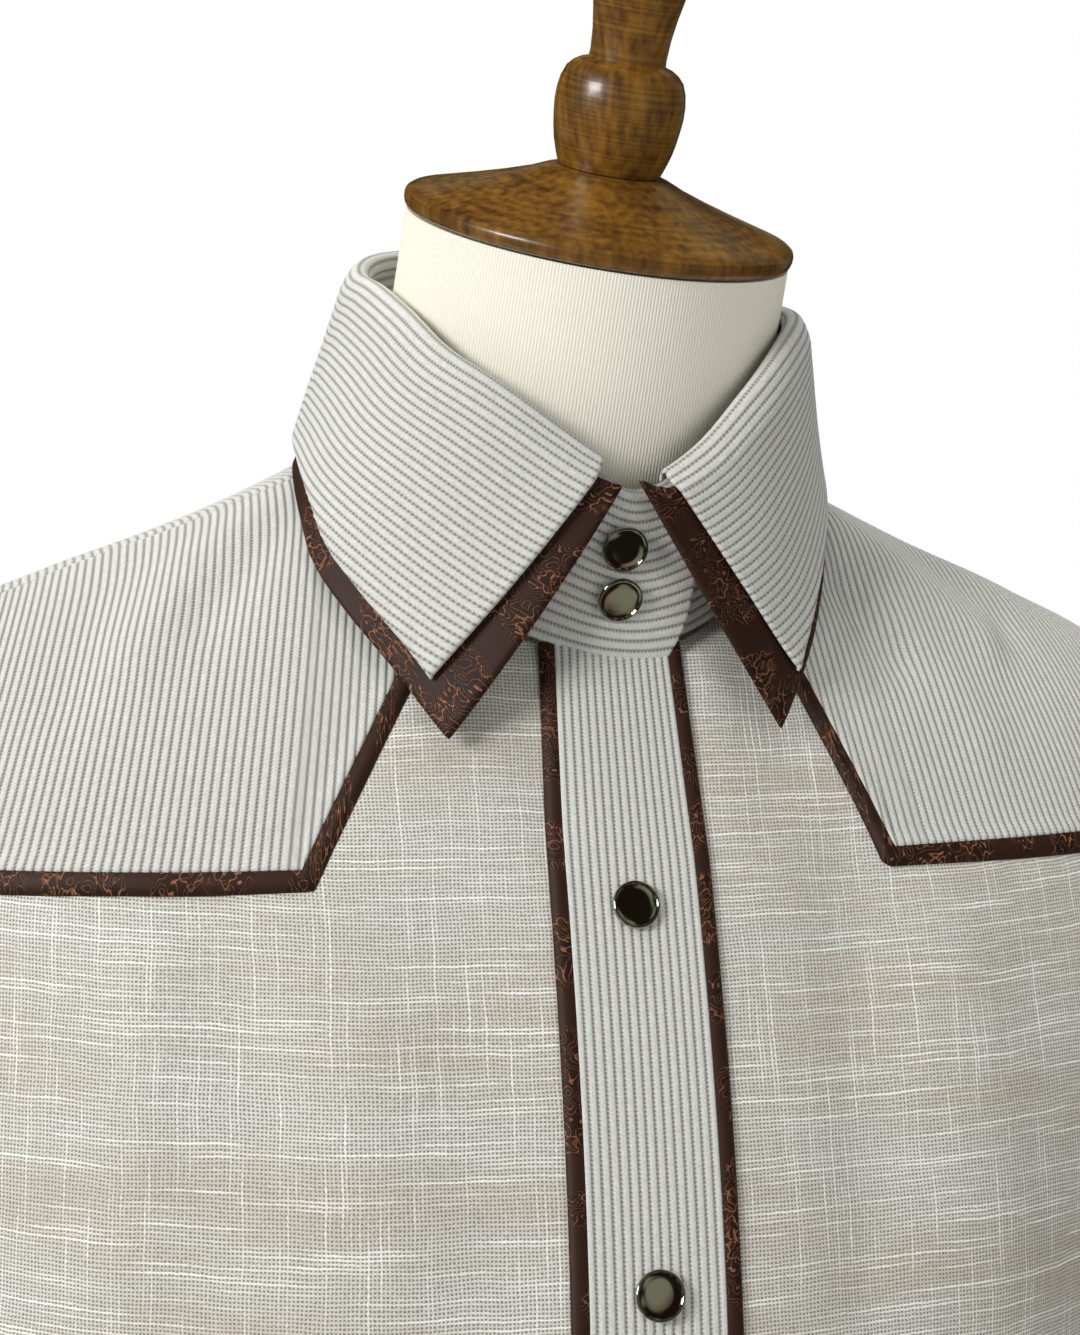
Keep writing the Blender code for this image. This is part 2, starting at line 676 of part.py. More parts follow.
def back_yoke_columns(side):
    """The back yoke's columns on one side, meeting the front yoke's, and their ends."""
    front, _ = front_yoke_columns(side)
    levels = shoulder_level(side * front, front_angle)
    at_seam = [seam_column(level) for level in levels if level > NECK_EDGE]
    corner = seam_column(NECK_EDGE)
    inner = spread(sorted([0.0, BACK_YOKE_EDGE[1].column, corner]), BACK_YOKE_SPACING)
    outer = [column for column in at_seam if column > inner[-1] + SEAM_CLEAR_COLUMN]
    columns = np.concatenate([inner, sorted([*outer, ARM_COLUMN])])
    edge = back_yoke_edge(columns, -GAP)
    return columns, above_armhole(columns, edge, columns[-1], BACK_TIP_LEVEL)


def make_back_yoke():
    halves = []
    for side in (-1, 1):
        columns, end = back_yoke_columns(side)
        paths = [over_shoulder(side * column, last) for column, last in zip(columns, end)]
        angles, levels = np.array(paths).transpose(1, 0, 2)
        halves.append(even(angles, levels, BACK_YOKE_ROWS))
    angles = np.concatenate([halves[0][0][:0:-1], halves[1][0]])
    levels = np.concatenate([halves[0][1][:0:-1], halves[1][1]])
    return cloth("back_yoke", on_body(angles, levels), CORDUROY, "corduroy")


def make_back_piping():
    halves = [back_yoke_columns(side)[0] for side in (-1, 1)]
    right, left = (half[half <= ARM_COLUMN] for half in halves)
    columns = np.concatenate([-right[:0:-1], left])
    start = back_yoke_edge(columns)
    end = back_yoke_edge(columns, PIPING)
    return body_panel(
        "back_piping", columns, start, end, 2, back_angle, 0.0, BROCADE, "brocade"
    )


def armhole_loop(side):
    """The armhole's corners on every panel's edge, from the shoulder's tip round by the front."""
    runs = (
        (front_yoke_columns(side), front_angle, -1),
        (front_columns(side, ()), front_angle, 1),
        (back_columns(), back_angle, -1),
        (back_yoke_columns(side), back_angle, 1),
    )
    loop = []
    for (columns, levels), angle_of, order in runs:
        beyond = columns >= ARM_COLUMN
        columns, levels = columns[beyond][::order], levels[beyond][::order]
        angles = angle_of(side * columns[:, None], levels[:, None])[:, 0]
        loop.extend(body(angles, levels))
    return np.array([*loop, loop[0]])


def shares_along(line):
    steps = np.linalg.norm(np.diff(line, axis=0), axis=1)
    along = np.concatenate([[0], np.cumsum(steps)])
    return along / along[-1]


def sleeve_ring(ring, side, shares):
    """A ring of the hanging sleeve, from its outer point round by the front."""
    turn = np.linspace(0, 2 * math.pi, FINE_STEPS * 2)
    swing = (1 + np.cos(turn)) / 2
    x = ring.inner_x + (ring.outer_x - ring.inner_x) * swing
    z = ring.inner_z + (ring.outer_z - ring.inner_z) * swing + SET_TILT * side * x
    middle = (ring.front_y + ring.back_y) / 2
    y = middle + (ring.front_y - ring.back_y) / 2 * np.sin(turn)
    line = np.stack([side * x, y, z], -1)
    along = shares_along(line)
    return np.stack([np.interp(shares, along, line[:, axis]) for axis in range(3)], -1)


def make_sleeve(name, side):
    armhole = armhole_loop(side)
    shares = shares_along(armhole)
    rings = [sleeve_ring(ring, side, shares) for ring in SLEEVE_RINGS]
    corners = armhole[:-1]
    along = unit(np.roll(corners, -1, axis=0) - np.roll(corners, 1, axis=0))
    outward = (rings[0] - armhole)[:-1]
    outward = unit(outward - np.sum(outward * along, axis=1, keepdims=True) * along)
    first = corners + outward * SLEEVE_GAP
    first = np.concatenate([first, first[:1]])
    points = np.stack([first, *rings], axis=1)
    centre = (side * SLEEVE_CENTRE[0], SLEEVE_CENTRE[1])
    return cloth(name, points, LINEN, "linen", centre, closed=True)


def make_cuff(name, side):
    shares = np.linspace(0, 1, CUFF_SIDES + 1)
    rings = [sleeve_ring(ring, side, shares) for ring in CUFF_RINGS]
    centre = (side * SLEEVE_CENTRE[0], SLEEVE_CENTRE[1])
    return cloth(name, np.stack(rings, axis=1), CORDUROY, "corduroy", centre, closed=True)


def away_from_neck(points):
    """The direction out from the collar's axis."""
    spokes = points - NECK_CENTRE
    return unit(spokes - (spokes @ COLLAR_AXIS)[..., None] * COLLAR_AXIS)


def wrap(unrolled):
    return (unrolled + 180) % 360 - 180


def fold_point(angle):
    table = np.array(FOLD)
    return np.stack([smooth(angle, table[:, 0], column) for column in table.T[1:]], -1)


def on_band(unrolled, share, out):
    """A point of the collar band: share 0 at the neck seam, 1 at its top."""
    unrolled, share = np.broadcast_arrays(unrolled, share)
    angle = wrap(unrolled)
    points = body(angle, 0.0) * (1 - share[..., None]) + fold_point(angle) * share[..., None]
    return points + away_from_neck(points) * np.asarray(out)[..., None]


def band_out(unrolled):
    """How far out the band runs: its upper end clears its under end."""
    table = np.array(BAND_LIFTS)
    return smooth(unrolled, table[:, 0], table[:, 1])


def make_collar_stand():
    shares = np.linspace(BAND_LOW, 1.0, BAND_ROWS)
    span = np.linspace(0, 1, BAND_COLUMNS)[:, None]
    rounding = BAND_ROUNDING * np.abs(2 * shares - 1) ** 4
    unrolled = BAND_ENDS[0] + (BAND_ENDS[1] - BAND_ENDS[0] - rounding) * span
    points = on_band(unrolled, shares, band_out(unrolled))
    return cloth("collar_stand", points, CORDUROY, "corduroy")


def leaf_edge(side, around):
    """The leaf's outer edge, from 0 at the centre back to 1 at the point."""
    table = np.array(LEAF_EDGE)
    angle = 180 - (180 - LEAF_TIP) * around
    level = smooth(angle, table[:, 0], table[:, 1 if side < 0 else 2])
    lift = smooth(angle, table[:, 0], table[:, 3])
    return on_body(side * angle, level, lift)


def on_fold(side, around, out, up):
    """A point by the band's top, from 0 at the centre back to 1 at the leaf's front."""
    angle = 180 - (180 - LEAF_FRONTS[side]) * around
    forward = np.clip((around - FRONT_RISE_FROM) / (1 - FRONT_RISE_FROM), 0, 1)
    up = up + FRONT_RISES[side] * forward**2
    return on_band(side * angle, np.ones(angle.shape), out) + COLLAR_AXIS * up[..., None]


def on_leaf(side, around, down):
    """The under face of the leaf: down runs from 0 at the fold to 1 at the outer edge."""
    around, down = np.broadcast_arrays(around, down)
    table = np.array(LEAF_LIFTS)
    angle = 180 - (180 - LEAF_FRONTS[side]) * around
    fold = on_fold(side, around, smooth(angle, table[:, 0], table[:, 1]), 0.0)
    edge = leaf_edge(side, around)
    push = away_from_neck(fold) * ROLL_PUSH[0] + COLLAR_AXIS * ROLL_PUSH[1]
    middle = (fold + edge) / 2 + push * LEAF_ROLL
    pull = np.clip((around - TIP_PULL_FROM) / (1 - TIP_PULL_FROM), 0, 1) ** 2
    middle[..., 0] -= side * TIP_PULLS[side] * pull
    down = down[..., None]
    return fold * (1 - down) ** 2 + 2 * middle * down * (1 - down) + edge * down**2


def leaf_normal(side, around, down):
    step = 0.004
    low, high = np.maximum(around - step, 0), np.minimum(around + step, 1)
    above, below = np.maximum(down - step, 0), np.minimum(down + step, 1)
    across = on_leaf(side, high, down) - on_leaf(side, low, down)
    along = on_leaf(side, around, below) - on_leaf(side, around, above)
    return unit(np.cross(across, along)) * side


def leaf_half(side, top_margins, front_margins, side_margin, tip_margins, lift, rolled):
    """One half of a collar layer, from the centre back to its front edge."""
    spread_out = np.linspace(0, 1, (LEAF_COLUMNS + 1) // 2)[:, None]
    down_share = np.linspace(0, 1, LEAF_ROWS)[None, :]
    top_front = 1 - top_margins[side] / LEAF_FOLD_RUN
    tip_front = 1 - front_margins[side] / LEAF_EDGE_RUN
    around = spread_out * (top_front + (tip_front - top_front) * down_share)
    length = LEAF_LENGTHS[0] + (LEAF_LENGTHS[1] - LEAF_LENGTHS[0]) * around
    tipward = np.clip((around - BORDER_TIP_FROM) / (1 - BORDER_TIP_FROM), 0, 1) ** 2
    margin = side_margin + (tip_margins[side] - side_margin) * tipward
    down = LEAF_START + (1 - LEAF_START - margin / length) * down_share
    points = on_leaf(side, around, down)
    points = points + leaf_normal(side, around, down) * lift
    if not rolled:
        return points
    top = spread_out * top_front
    inner = on_fold(side, top, np.full(top.shape, ROLL_INNER[0]), ROLL_INNER[1])
    over = on_fold(side, top, np.full(top.shape, ROLL_TOP[0]), ROLL_TOP[1])
    rows = [inner, over, points]
    return np.concatenate(rows, axis=1)


def leaf_points(*measures):
    """Both halves of a collar layer, from the right front edge round to the left one."""
    right, left = leaf_half(-1, *measures), leaf_half(1, *measures)
    return np.concatenate([right[::-1], left[1:]])


def make_under_collar():
    none = {-1: 0.0, 1: 0.0}
    points = leaf_points(none, none, 0.0, none, 0.0, False)
    return cloth("under_collar", points, BROCADE, "brocade")


def make_collar_leaf():
    lift = BROCADE + LEAF_GAP
    points = leaf_points(BORDER_TOPS, BORDER_FRONTS, BORDER_SIDE, BORDER_TIPS, lift, True)
    return cloth("collar_leaf", points, CORDUROY, "corduroy")


def turned_piece(name, profile, material, sides):
    """A solid turned about +Z from a profile of radius and height."""
    bm = bmesh.new()
    verts = [bm.verts.new((row[0], 0, row[1])) for row in profile]
    edges = [bm.edges.new(pair) for pair in zip(verts, verts[1:])]
    bmesh.ops.spin(
        bm,
        geom=verts + edges,
        cent=(0, 0, 0),
        axis=(0, 0, 1),
        angle=2 * math.pi,
        steps=sides,
        use_merge=True,
    )
    bmesh.ops.remove_doubles(bm, verts=bm.verts, dist=1e-6)
    bmesh.ops.recalc_face_normals(bm, faces=bm.faces)
    piece = add_object(name, bm, material)
    piece.data.shade_smooth()
    piece.data.set_sharp_from_angle(angle=math.radians(35))
    return piece


def stand_on(piece, point, axis):
    """Turns a piece's +Z to an axis and moves its origin to a point."""
    turn = Vector((0, 0, 1)).rotation_difference(Vector(axis))
    piece.matrix_world = Matrix.Translation(Vector(point)) @ turn.to_matrix().to_4x4()


SNAP_PROFILE = (
    Turned(0.0, 0.0),
    Turned(0.00576, 0.0),
    Turned(SNAP_RADIUS, 0.0009),
    Turned(0.00516, 0.0017),
    Turned(0.00270, 0.0022),
    Turned(0.0, 0.0023),
)


def make_snap(name, point, axis):
    snap = turned_piece(name, SNAP_PROFILE, "nickel", SNAP_SIDES)
    stand_on(snap, point, axis)


def make_snaps():
    out = BAND_LIFTS[-1].out + CORDUROY + STAND_SNAP_SEAT
    for number, share in enumerate(STAND_SNAP_SHARES, 1):
        point = on_band(np.array(STAND_SNAP_ANGLE), np.array(share), np.array(out))
        make_snap(f"snap_stand_{number}", point, away_from_neck(point))
    for number in range(SNAP_COUNT):
        angle = np.array(0.0)
        level = np.array(FIRST_SNAP + SNAP_PITCH * number)
        point = on_body(angle, level, ON_LINEN + CORDUROY + SNAP_SEAT)
        make_snap(f"snap_{number + 1}", point, body_normal(angle, level))
    for name, side in (("right", -1), ("left", 1)):
        ring = CUFF_RINGS[1]
        middle = (ring.front_y + ring.back_y) / 2
        out_x = side * (ring.outer_x + CORDUROY + CUFF_SNAP_SEAT)
        make_snap(f"snap_cuff_{name}", (out_x, middle, ring.inner_z), (side, 0, 0))


def form_ring(row):
    """The form inside the shirt: it meets the cloth along the shoulders and stands off below."""
    angles = np.linspace(-180, 180, FORM_SIDES + 1)[:-1]
    levels = np.full(angles.shape, row.level)
    above = np.clip((FORM_SHOULDER_LEVEL - row.level) / FORM_SHOULDER_RISE, 0, 1)
    ridge = np.sin(np.radians(np.abs(angles))) ** 6 * above**2 * (3 - 2 * above)
    ease = FORM_SHOULDER_GAP + row.ease * (1 - ridge)
    return on_body(angles, levels, -ease)


def neck_ring(row):
    angles = np.radians(np.linspace(-180, 180, FORM_SIDES + 1)[:-1])
    axis = np.array([0, -math.sin(NECK_TILT), math.cos(NECK_TILT)])
    forward = np.array([0, -math.cos(row.tilt), -math.sin(row.tilt)])
    sideways = np.array([math.cos(row.lean), 0, -math.sin(row.lean)])
    spokes = np.cos(angles)[:, None] * forward + np.sin(angles)[:, None] * sideways
    return NECK_TOP - axis * row.below + spokes * row.radius


def make_form():
    bottom = form_ring(FormRing(FORM_BOTTOM_LEVEL, FORM_BOTTOM_EASE))
    bottom[:, 2] = FORM_BOTTOM
    rings = [bottom, *map(form_ring, FORM_RINGS), *map(neck_ring, NECK_RINGS)]
    points = np.stack(rings, axis=1)
    points = np.concatenate([points, points[:1]])
    bm = bend_grid(points, closed=True)
    bmesh.ops.holes_fill(bm, edges=bm.edges, sides=0)
    bmesh.ops.recalc_face_normals(bm, faces=bm.faces)
    form = add_object("form_torso", bm, "jersey")
    form.data.shade_smooth()


def make_wood():
    axis = (math.sin(WOOD_LEAN), -math.sin(WOOD_TILT), math.cos(WOOD_TILT))
    stand_on(turned_piece("neck_cap", CAP_PROFILE, "wood", ROUND_SIDES), NECK_TOP, axis)
    stand_on(turned_piece("finial", FINIAL_PROFILE, "wood", FINIAL_SIDES), NECK_TOP, axis)


BASE_PROFILE = (
    Turned(0.0, 0.0),
    Turned(BASE_RADIUS - BASE_CHAMFER, 0.0),
    Turned(BASE_RADIUS, BASE_CHAMFER),
    Turned(BASE_RADIUS, 0.0080),
    Turned(0.1674, 0.0140),
    Turned(0.0320, BASE_HEIGHT),
    Turned(0.0, BASE_HEIGHT),
)
POLE_PROFILE = (
    Turned(0.0, BASE_HEIGHT + GAP),
    Turned(POLE_RADIUS, BASE_HEIGHT + GAP),
    Turned(POLE_RADIUS, FORM_BOTTOM - GAP),
    Turned(0.0, FORM_BOTTOM - GAP),
)


def make_stand():
    turned_piece("base", BASE_PROFILE, "steel", ROUND_SIDES)
    turned_piece("pole", POLE_PROFILE, "steel", POLE_SIDES)


def main():
    for old in list(bpy.data.objects):
        bpy.data.objects.remove(old, do_unlink=True)
    make_form()
    make_wood()
    make_stand()
    strip_x = PLACKET_HALF + PLACKET_PIPING
    make_front("front_right", -1, (UNDERLAP_X + 2 * GAP,))
    make_front("front_left", 1, (-UNDERLAP_X, 0.0))
    make_strip("placket", -PLACKET_HALF, PLACKET_HALF, CORDUROY, "corduroy", 2)
    inner_x = PLACKET_HALF + GAP
    make_strip("placket_piping_right", -strip_x, -inner_x, BROCADE, "brocade", 1)
    make_strip("placket_piping_left", inner_x, strip_x, BROCADE, "brocade", 1)
    for name, side in (("right", -1), ("left", 1)):
        make_front_yoke(f"front_yoke_{name}", side)
        make_front_piping(f"front_piping_{name}", side)
        make_sleeve(f"sleeve_{name}", side)
        make_cuff(f"cuff_{name}", side)
    make_back()
    make_back_yoke()
    make_back_piping()
    make_collar_stand()
    make_under_collar()
    make_collar_leaf()
    make_snaps()


main()
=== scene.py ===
"""A western snap shirt on a limbless dress form: cloth, trims, snaps, form and stand.

Metres, +Z up, the front faces -Y. The cloth is laid on the same body surface as the solids: a
stack of rings, with columns of cloth that run down it. A "level" is a distance down the centre
front from the neck seam, and "side" is -1 on the wearer's right and 1 on the left.
"""

import functools
import math
from collections import namedtuple

import bmesh
import bpy
import numpy as np
from mathutils import Matrix, Vector


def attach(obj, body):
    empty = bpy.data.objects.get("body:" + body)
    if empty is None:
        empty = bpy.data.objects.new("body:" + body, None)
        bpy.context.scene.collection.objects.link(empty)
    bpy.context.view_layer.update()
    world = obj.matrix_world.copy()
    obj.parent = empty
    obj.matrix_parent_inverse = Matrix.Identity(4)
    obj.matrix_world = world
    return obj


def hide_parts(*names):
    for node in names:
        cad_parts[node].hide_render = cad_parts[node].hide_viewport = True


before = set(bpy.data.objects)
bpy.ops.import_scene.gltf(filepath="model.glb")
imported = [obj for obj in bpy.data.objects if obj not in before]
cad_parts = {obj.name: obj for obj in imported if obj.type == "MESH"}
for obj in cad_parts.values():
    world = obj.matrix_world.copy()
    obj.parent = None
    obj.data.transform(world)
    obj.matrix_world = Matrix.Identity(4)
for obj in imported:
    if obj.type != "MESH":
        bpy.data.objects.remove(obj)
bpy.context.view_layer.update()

# ---------------------------------------------------------------- the body and its measures

Ring = namedtuple("Ring", "level front_y front_z side_x side_y side_z back_y back_z square bow")
BODY_RINGS = (
    Ring(0.000, -0.077, 1.393, 0.068, -0.010, 1.438, 0.060, 1.462, 0.00, 2),
    Ring(0.040, -0.095, 1.357, 0.104, -0.010, 1.422, 0.080, 1.436, -0.04, 2),
    Ring(0.080, -0.113, 1.321, 0.142, -0.008, 1.407, 0.095, 1.400, -0.04, 2),
    Ring(0.120, -0.129, 1.284, 0.180, -0.006, 1.387, 0.105, 1.362, -0.02, 2),
    Ring(0.150, -0.139, 1.256, 0.196, -0.004, 1.360, 0.108, 1.332, 0.00, 2),
    Ring(0.180, -0.147, 1.227, 0.198, -0.002, 1.318, 0.110, 1.300, 0.02, 2),
    Ring(0.215, -0.150, 1.192, 0.193, 0.000, 1.262, 0.110, 1.260, 0.04, 2),
    Ring(0.270, -0.147, 1.137, 0.188, 0.000, 1.185, 0.107, 1.185, 0.06, 2),
    Ring(0.400, -0.134, 1.008, 0.180, 0.000, 1.020, 0.104, 1.020, 0.06, 2),
    Ring(0.520, -0.132, 0.888, 0.184, 0.000, 0.880, 0.108, 0.880, 0.05, 2),
    Ring(0.640, -0.136, 0.768, 0.192, 0.000, 0.770, 0.114, 0.758, 0.05, 2),
)
SET_TILT = 0.025  # the shirt hangs a little lower on its right

# Columns are named by their angle round the underarm ring, 0 at the centre and 90 at the side.
UNDERARM = 0.215
NECKWARD = 1.83  # share of its distance from the centre that a column loses per metre up
HEM_CENTRE = 0.630
HEM_RISE = 0.070
HEM_TURN = 50.0
SIDE_COLUMN = 89.95
BACK_LEAN_FROM = 0.1075
NECK_EDGE = 0.0028  # the level of the panels' edges at the neck seam
STRIP_TOP = 0.0010  # and of the placket's

SEAM_ANGLE = 84.0
SEAM_GAP_ANGLE = 0.15
SEAM_END = 0.122
ARMPIT = 0.250
TIP_LEVEL = 0.125
BACK_TIP_LEVEL = 0.127
ARM_COLUMN = 61.0

YokePoint = namedtuple("YokePoint", "point_x neck_x")
YOKE_POINTS = {-1: YokePoint(0.0810, 0.0475), 1: YokePoint(0.0735, 0.0500)}
YOKE_HEIGHT = 1.3404
YOKE_TILT = 0.020
BackYokePoint = namedtuple("BackYokePoint", "column level")
BACK_YOKE_EDGE = (BackYokePoint(0, 0.165), BackYokePoint(28, 0.132), BackYokePoint(ARM_COLUMN, 0.150))
BACK_YOKE_LEVEL = 0.120  # the level along which the back yoke's columns are spaced
BACK_PIPING_LEVEL = 0.140

PLACKET_HALF = 0.0172
UNDERLAP_X = 0.0150
FIRST_SNAP = 0.070
SNAP_PITCH = 0.092
SNAP_COUNT = 6
STAND_SNAP_SHARES = (0.36, 0.665)  # up the collar stand
STAND_SNAP_ANGLE = 360.0

COLLAR_AXIS_TILT = math.radians(22)
COLLAR_AXIS = np.array([0, -math.sin(COLLAR_AXIS_TILT), math.cos(COLLAR_AXIS_TILT)])
NECK_CENTRE = np.array([0, -0.012, 1.440])
BAND_ENDS = (-11.5, 377.0)  # unrolled angles of the under end and the upper end
BAND_LOW = -0.02  # share of the band's height at which its cloth starts
BAND_HEIGHT = 0.042
BAND_WALES = 17
BAND_ROUNDING = 4.5  # how far its upper end's corners are cut back, in degrees
BAND_PER_DEGREE = 0.0013
UPPER_END_PER_DEGREE = 0.0014
BAND_DROP = 0.0040  # how far the upper end reaches down over the placket, from an angle on
BAND_DROP_FROM = 346.0
BAND_DROP_LIFT = 0.0009
BandLift = namedtuple("BandLift", "unrolled out")
BAND_LIFTS = (
    BandLift(-12, 0.0002),
    BandLift(16, 0.0002),
    BandLift(50, 0.0010),
    BandLift(310, 0.0010),
    BandLift(344, 0.0021),
    BandLift(377, 0.0021),
)
FoldPoint = namedtuple("FoldPoint", "angle x y z")
FOLD = (
    FoldPoint(-180, 0.0000, 0.0420, 1.5010),
    FoldPoint(-165, -0.0155, 0.0408, 1.5008),
    FoldPoint(-150, -0.0300, 0.0370, 1.5000),
    FoldPoint(-120, -0.0485, 0.0175, 1.4950),
    FoldPoint(-90, -0.0558, -0.0120, 1.4865),
    FoldPoint(-75, -0.0552, -0.0350, 1.4820),
    FoldPoint(-60, -0.0515, -0.0550, 1.4745),
    FoldPoint(-45, -0.0446, -0.0695, 1.4645),
    FoldPoint(-30, -0.0332, -0.0785, 1.4560),
    FoldPoint(-15, -0.0180, -0.0835, 1.4455),
    FoldPoint(-5, -0.0065, -0.0855, 1.4375),
    FoldPoint(0, 0.0000, -0.0855, 1.4345),
    FoldPoint(5, 0.0060, -0.0840, 1.4350),
    FoldPoint(15, 0.0180, -0.0825, 1.4430),
    FoldPoint(30, 0.0325, -0.0780, 1.4585),
    FoldPoint(45, 0.0436, -0.0697, 1.4715),
    FoldPoint(60, 0.0520, -0.0556, 1.4800),
    FoldPoint(75, 0.0548, -0.0355, 1.4845),
    FoldPoint(90, 0.0558, -0.0130, 1.4875),
    FoldPoint(120, 0.0500, 0.0170, 1.4955),
    FoldPoint(150, 0.0310, 0.0370, 1.5005),
    FoldPoint(165, 0.0160, 0.0408, 1.5008),
    FoldPoint(180, 0.0000, 0.0420, 1.5010),
)
LeafLift = namedtuple("LeafLift", "angle out")
LEAF_LIFTS = (LeafLift(0, 0.0049), LeafLift(20, 0.0049), LeafLift(55, 0.0039), LeafLift(180, 0.0039))
LEAF_FRONTS = {-1: 1.5, 1: 1.1}
LEAF_ROLL = 0.001
LEAF_TIP = 26.0
LEAF_FOLD_RUN = 0.215
LEAF_EDGE_RUN = 0.237
FRONT_RISES = {-1: 0.0035, 1: 0.0045}
FRONT_RISE_FROM = 0.90
LEAF_SINKS = {-1: 0.0014, 1: 0.0024}  # how much lower the leaf's own front corners turn
UNDER_STARTS = {-1: 0.030, 1: 0.008}  # where the under collar starts below the fold at its front
ROLL_PUSH = (0.8, 0.6)
TIP_PULLS = {-1: 0.003, 1: 0.001}  # how far each front edge bows to the centre
TIP_PULL_FROM = 0.75
LeafEdge = namedtuple("LeafEdge", "angle right_level left_level lift")
LEAF_EDGE = (
    LeafEdge(26, 0.044, 0.041, 0.0060),
    LeafEdge(36, 0.036, 0.0305, 0.0060),
    LeafEdge(46, 0.031, 0.0210, 0.0055),
    LeafEdge(55, 0.026, 0.015, 0.0045),
    LeafEdge(63, 0.019, 0.011, 0.0040),
    LeafEdge(90, 0.005, 0.006, 0.0035),
    LeafEdge(135, 0.006, 0.006, 0.0040),
    LeafEdge(180, 0.010, 0.010, 0.0050),
)
Offset = namedtuple("Offset", "out up")
LEAF_TURN = (  # how the leaf turns over the band's top
    Offset(0.0000, 0.0000),
    Offset(-0.0002, 0.0012),
    Offset(0.0006, 0.0028),
    Offset(0.0026, 0.0034),
    Offset(0.0042, 0.0022),
)
LEAF_STEP = 0.0026
LEAF_RELIEF = 0.4  # the pile lies flatter where it is stretched over the fold
COLLAR_LIFT = 0.0022  # the leaf's corduroy over the brocade under it
LEAF_LIP = 0.0008
UNDER_LIP = 0.0006
UNDER_DEPTH = 0.070
# The brown border's width on each side: at the fold, along the outer edge from the front edge,
# and below the leaf at its sides and its tips
BORDER_TOPS = {-1: 0.0052, 1: 0.0082}
BORDER_FRONTS = {-1: 0.0086, 1: 0.0095}
BORDER_SIDE = 0.0066
BORDER_TIPS = {-1: 0.0056, 1: 0.0030}
BORDER_TIP_FROM = 0.7

SleeveRing = namedtuple("SleeveRing", "inner_x inner_z outer_x outer_z front_y back_y")
SLEEVE_RINGS = (
    SleeveRing(0.1985, 1.2100, 0.2000, 1.3840, -0.0700, 0.0600),
    SleeveRing(0.2000, 1.1990, 0.2190, 1.3740, -0.0730, 0.0640),
    SleeveRing(0.2010, 1.1900, 0.2370, 1.3520, -0.0750, 0.0670),
    SleeveRing(0.2010, 1.1780, 0.2480, 1.3170, -0.0760, 0.0680),
    SleeveRing(0.2010, 1.1250, 0.2550, 1.1950, -0.0730, 0.0640),
    SleeveRing(0.2010, 1.0750, 0.2530, 1.1050, -0.0700, 0.0600),
    SleeveRing(0.2010, 1.0050, 0.2500, 1.0150, -0.0670, 0.0530),
    SleeveRing(0.2015, 0.8650, 0.2440, 0.8650, -0.0620, 0.0380),
)
CUFF_RINGS = (
    SleeveRing(0.2020, 0.8644, 0.2430, 0.8644, -0.0600, 0.0360),
    SleeveRing(0.2025, 0.8320, 0.2420, 0.8320, -0.0590, 0.0340),
    SleeveRing(0.2025, 0.8000, 0.2420, 0.8000, -0.0590, 0.0330),
)
SLEEVE_CENTRE = (0.225, -0.005)
SLEEVE_GIRTH = 0.42
CUFF_GIRTH = 0.22
CUFF_WALES = 28
CUFF_STEPS = 4  # rows of mesh to a wale

FORM_SHOULDER_GAP = 0.0021
FORM_SHOULDER_LEVEL = 0.150
FORM_SHOULDER_RISE = 0.045
FORM_BOTTOM = 0.870
FORM_BOTTOM_EASE = 0.030
FORM_BOTTOM_LEVEL = 0.530
FormRing = namedtuple("FormRing", "level ease")
FORM_RINGS = (
    FormRing(0.520, 0.027),
    FormRing(0.470, 0.030),
    FormRing(0.400, 0.032),
    FormRing(0.330, 0.028),
    FormRing(0.270, 0.020),
    FormRing(0.215, 0.013),
    FormRing(0.180, 0.010),
    FormRing(0.150, 0.008),
    FormRing(0.120, 0.007),
    FormRing(0.090, 0.006),
    FormRing(0.060, 0.006),
    FormRing(0.035, 0.006),
    FormRing(0.018, 0.006),
)
NECK_GIRTH = 0.340
NECK_TOP = np.array([0.0008, -0.0458, 1.5068])
NECK_TILT = math.radians(23.4)
WOOD_TILT = math.radians(18.3)
WOOD_LEAN = math.radians(2.2)
WOOD_AXIS = (math.sin(WOOD_LEAN), -math.sin(WOOD_TILT), math.cos(WOOD_TILT))
NeckRing = namedtuple("NeckRing", "below radius tilt lean")
NECK_RINGS = (
    NeckRing(0.086, 0.0610, NECK_TILT, 0.0),
    NeckRing(0.070, 0.0565, NECK_TILT, 0.0),
    NeckRing(0.045, 0.0540, NECK_TILT * 0.7 + WOOD_TILT * 0.3, WOOD_LEAN * 0.3),
    NeckRing(0.0043, 0.0522, WOOD_TILT, WOOD_LEAN),
)

# Cloth: its wall, its pattern's pitch, and how far each layer lies off the body
LINEN_WALL = 0.0007
CORDUROY_WALL = 0.0009
BROCADE_WALL = 0.0006
WALE = 0.00235
WALE_HEIGHT = 0.00030
WALE_STEPS = 6  # columns of mesh to a wale
BACK_WALE_STEPS = 4
LINEN_LIFT = 0.0003
YOKE_TOP = 0.0011
STRIP_LIFT = 0.0014
SEAM_PUFF = 0.0007  # a yoke's edge is lifted by the seam under it
SEAM_PUFF_WIDTH = 0.006
SEAM_CALM = 0.022  # creases fade out this near to the shoulder seam
LINEN_TUCK = 0.0012  # how far below the yoke's edge the linen starts, under the piping
LINEN_DIP = 0.0011
LINEN_DIP_WIDTH = 0.0035
TURNED_HEM = 0.0003
HEM_DEPTH = 0.009
LIP = 0.0010  # radius of a turned edge
CUFF_LIP = 0.0008
EDGE_STEPS = np.array([0.0, 0.0003, 0.0007, 0.0012, 0.0020])
LINEN_STEP = 0.0045
FINE_STEPS = 160
GRAIN_HEIGHT = 1.10  # the height at which the linen's weft is counted from

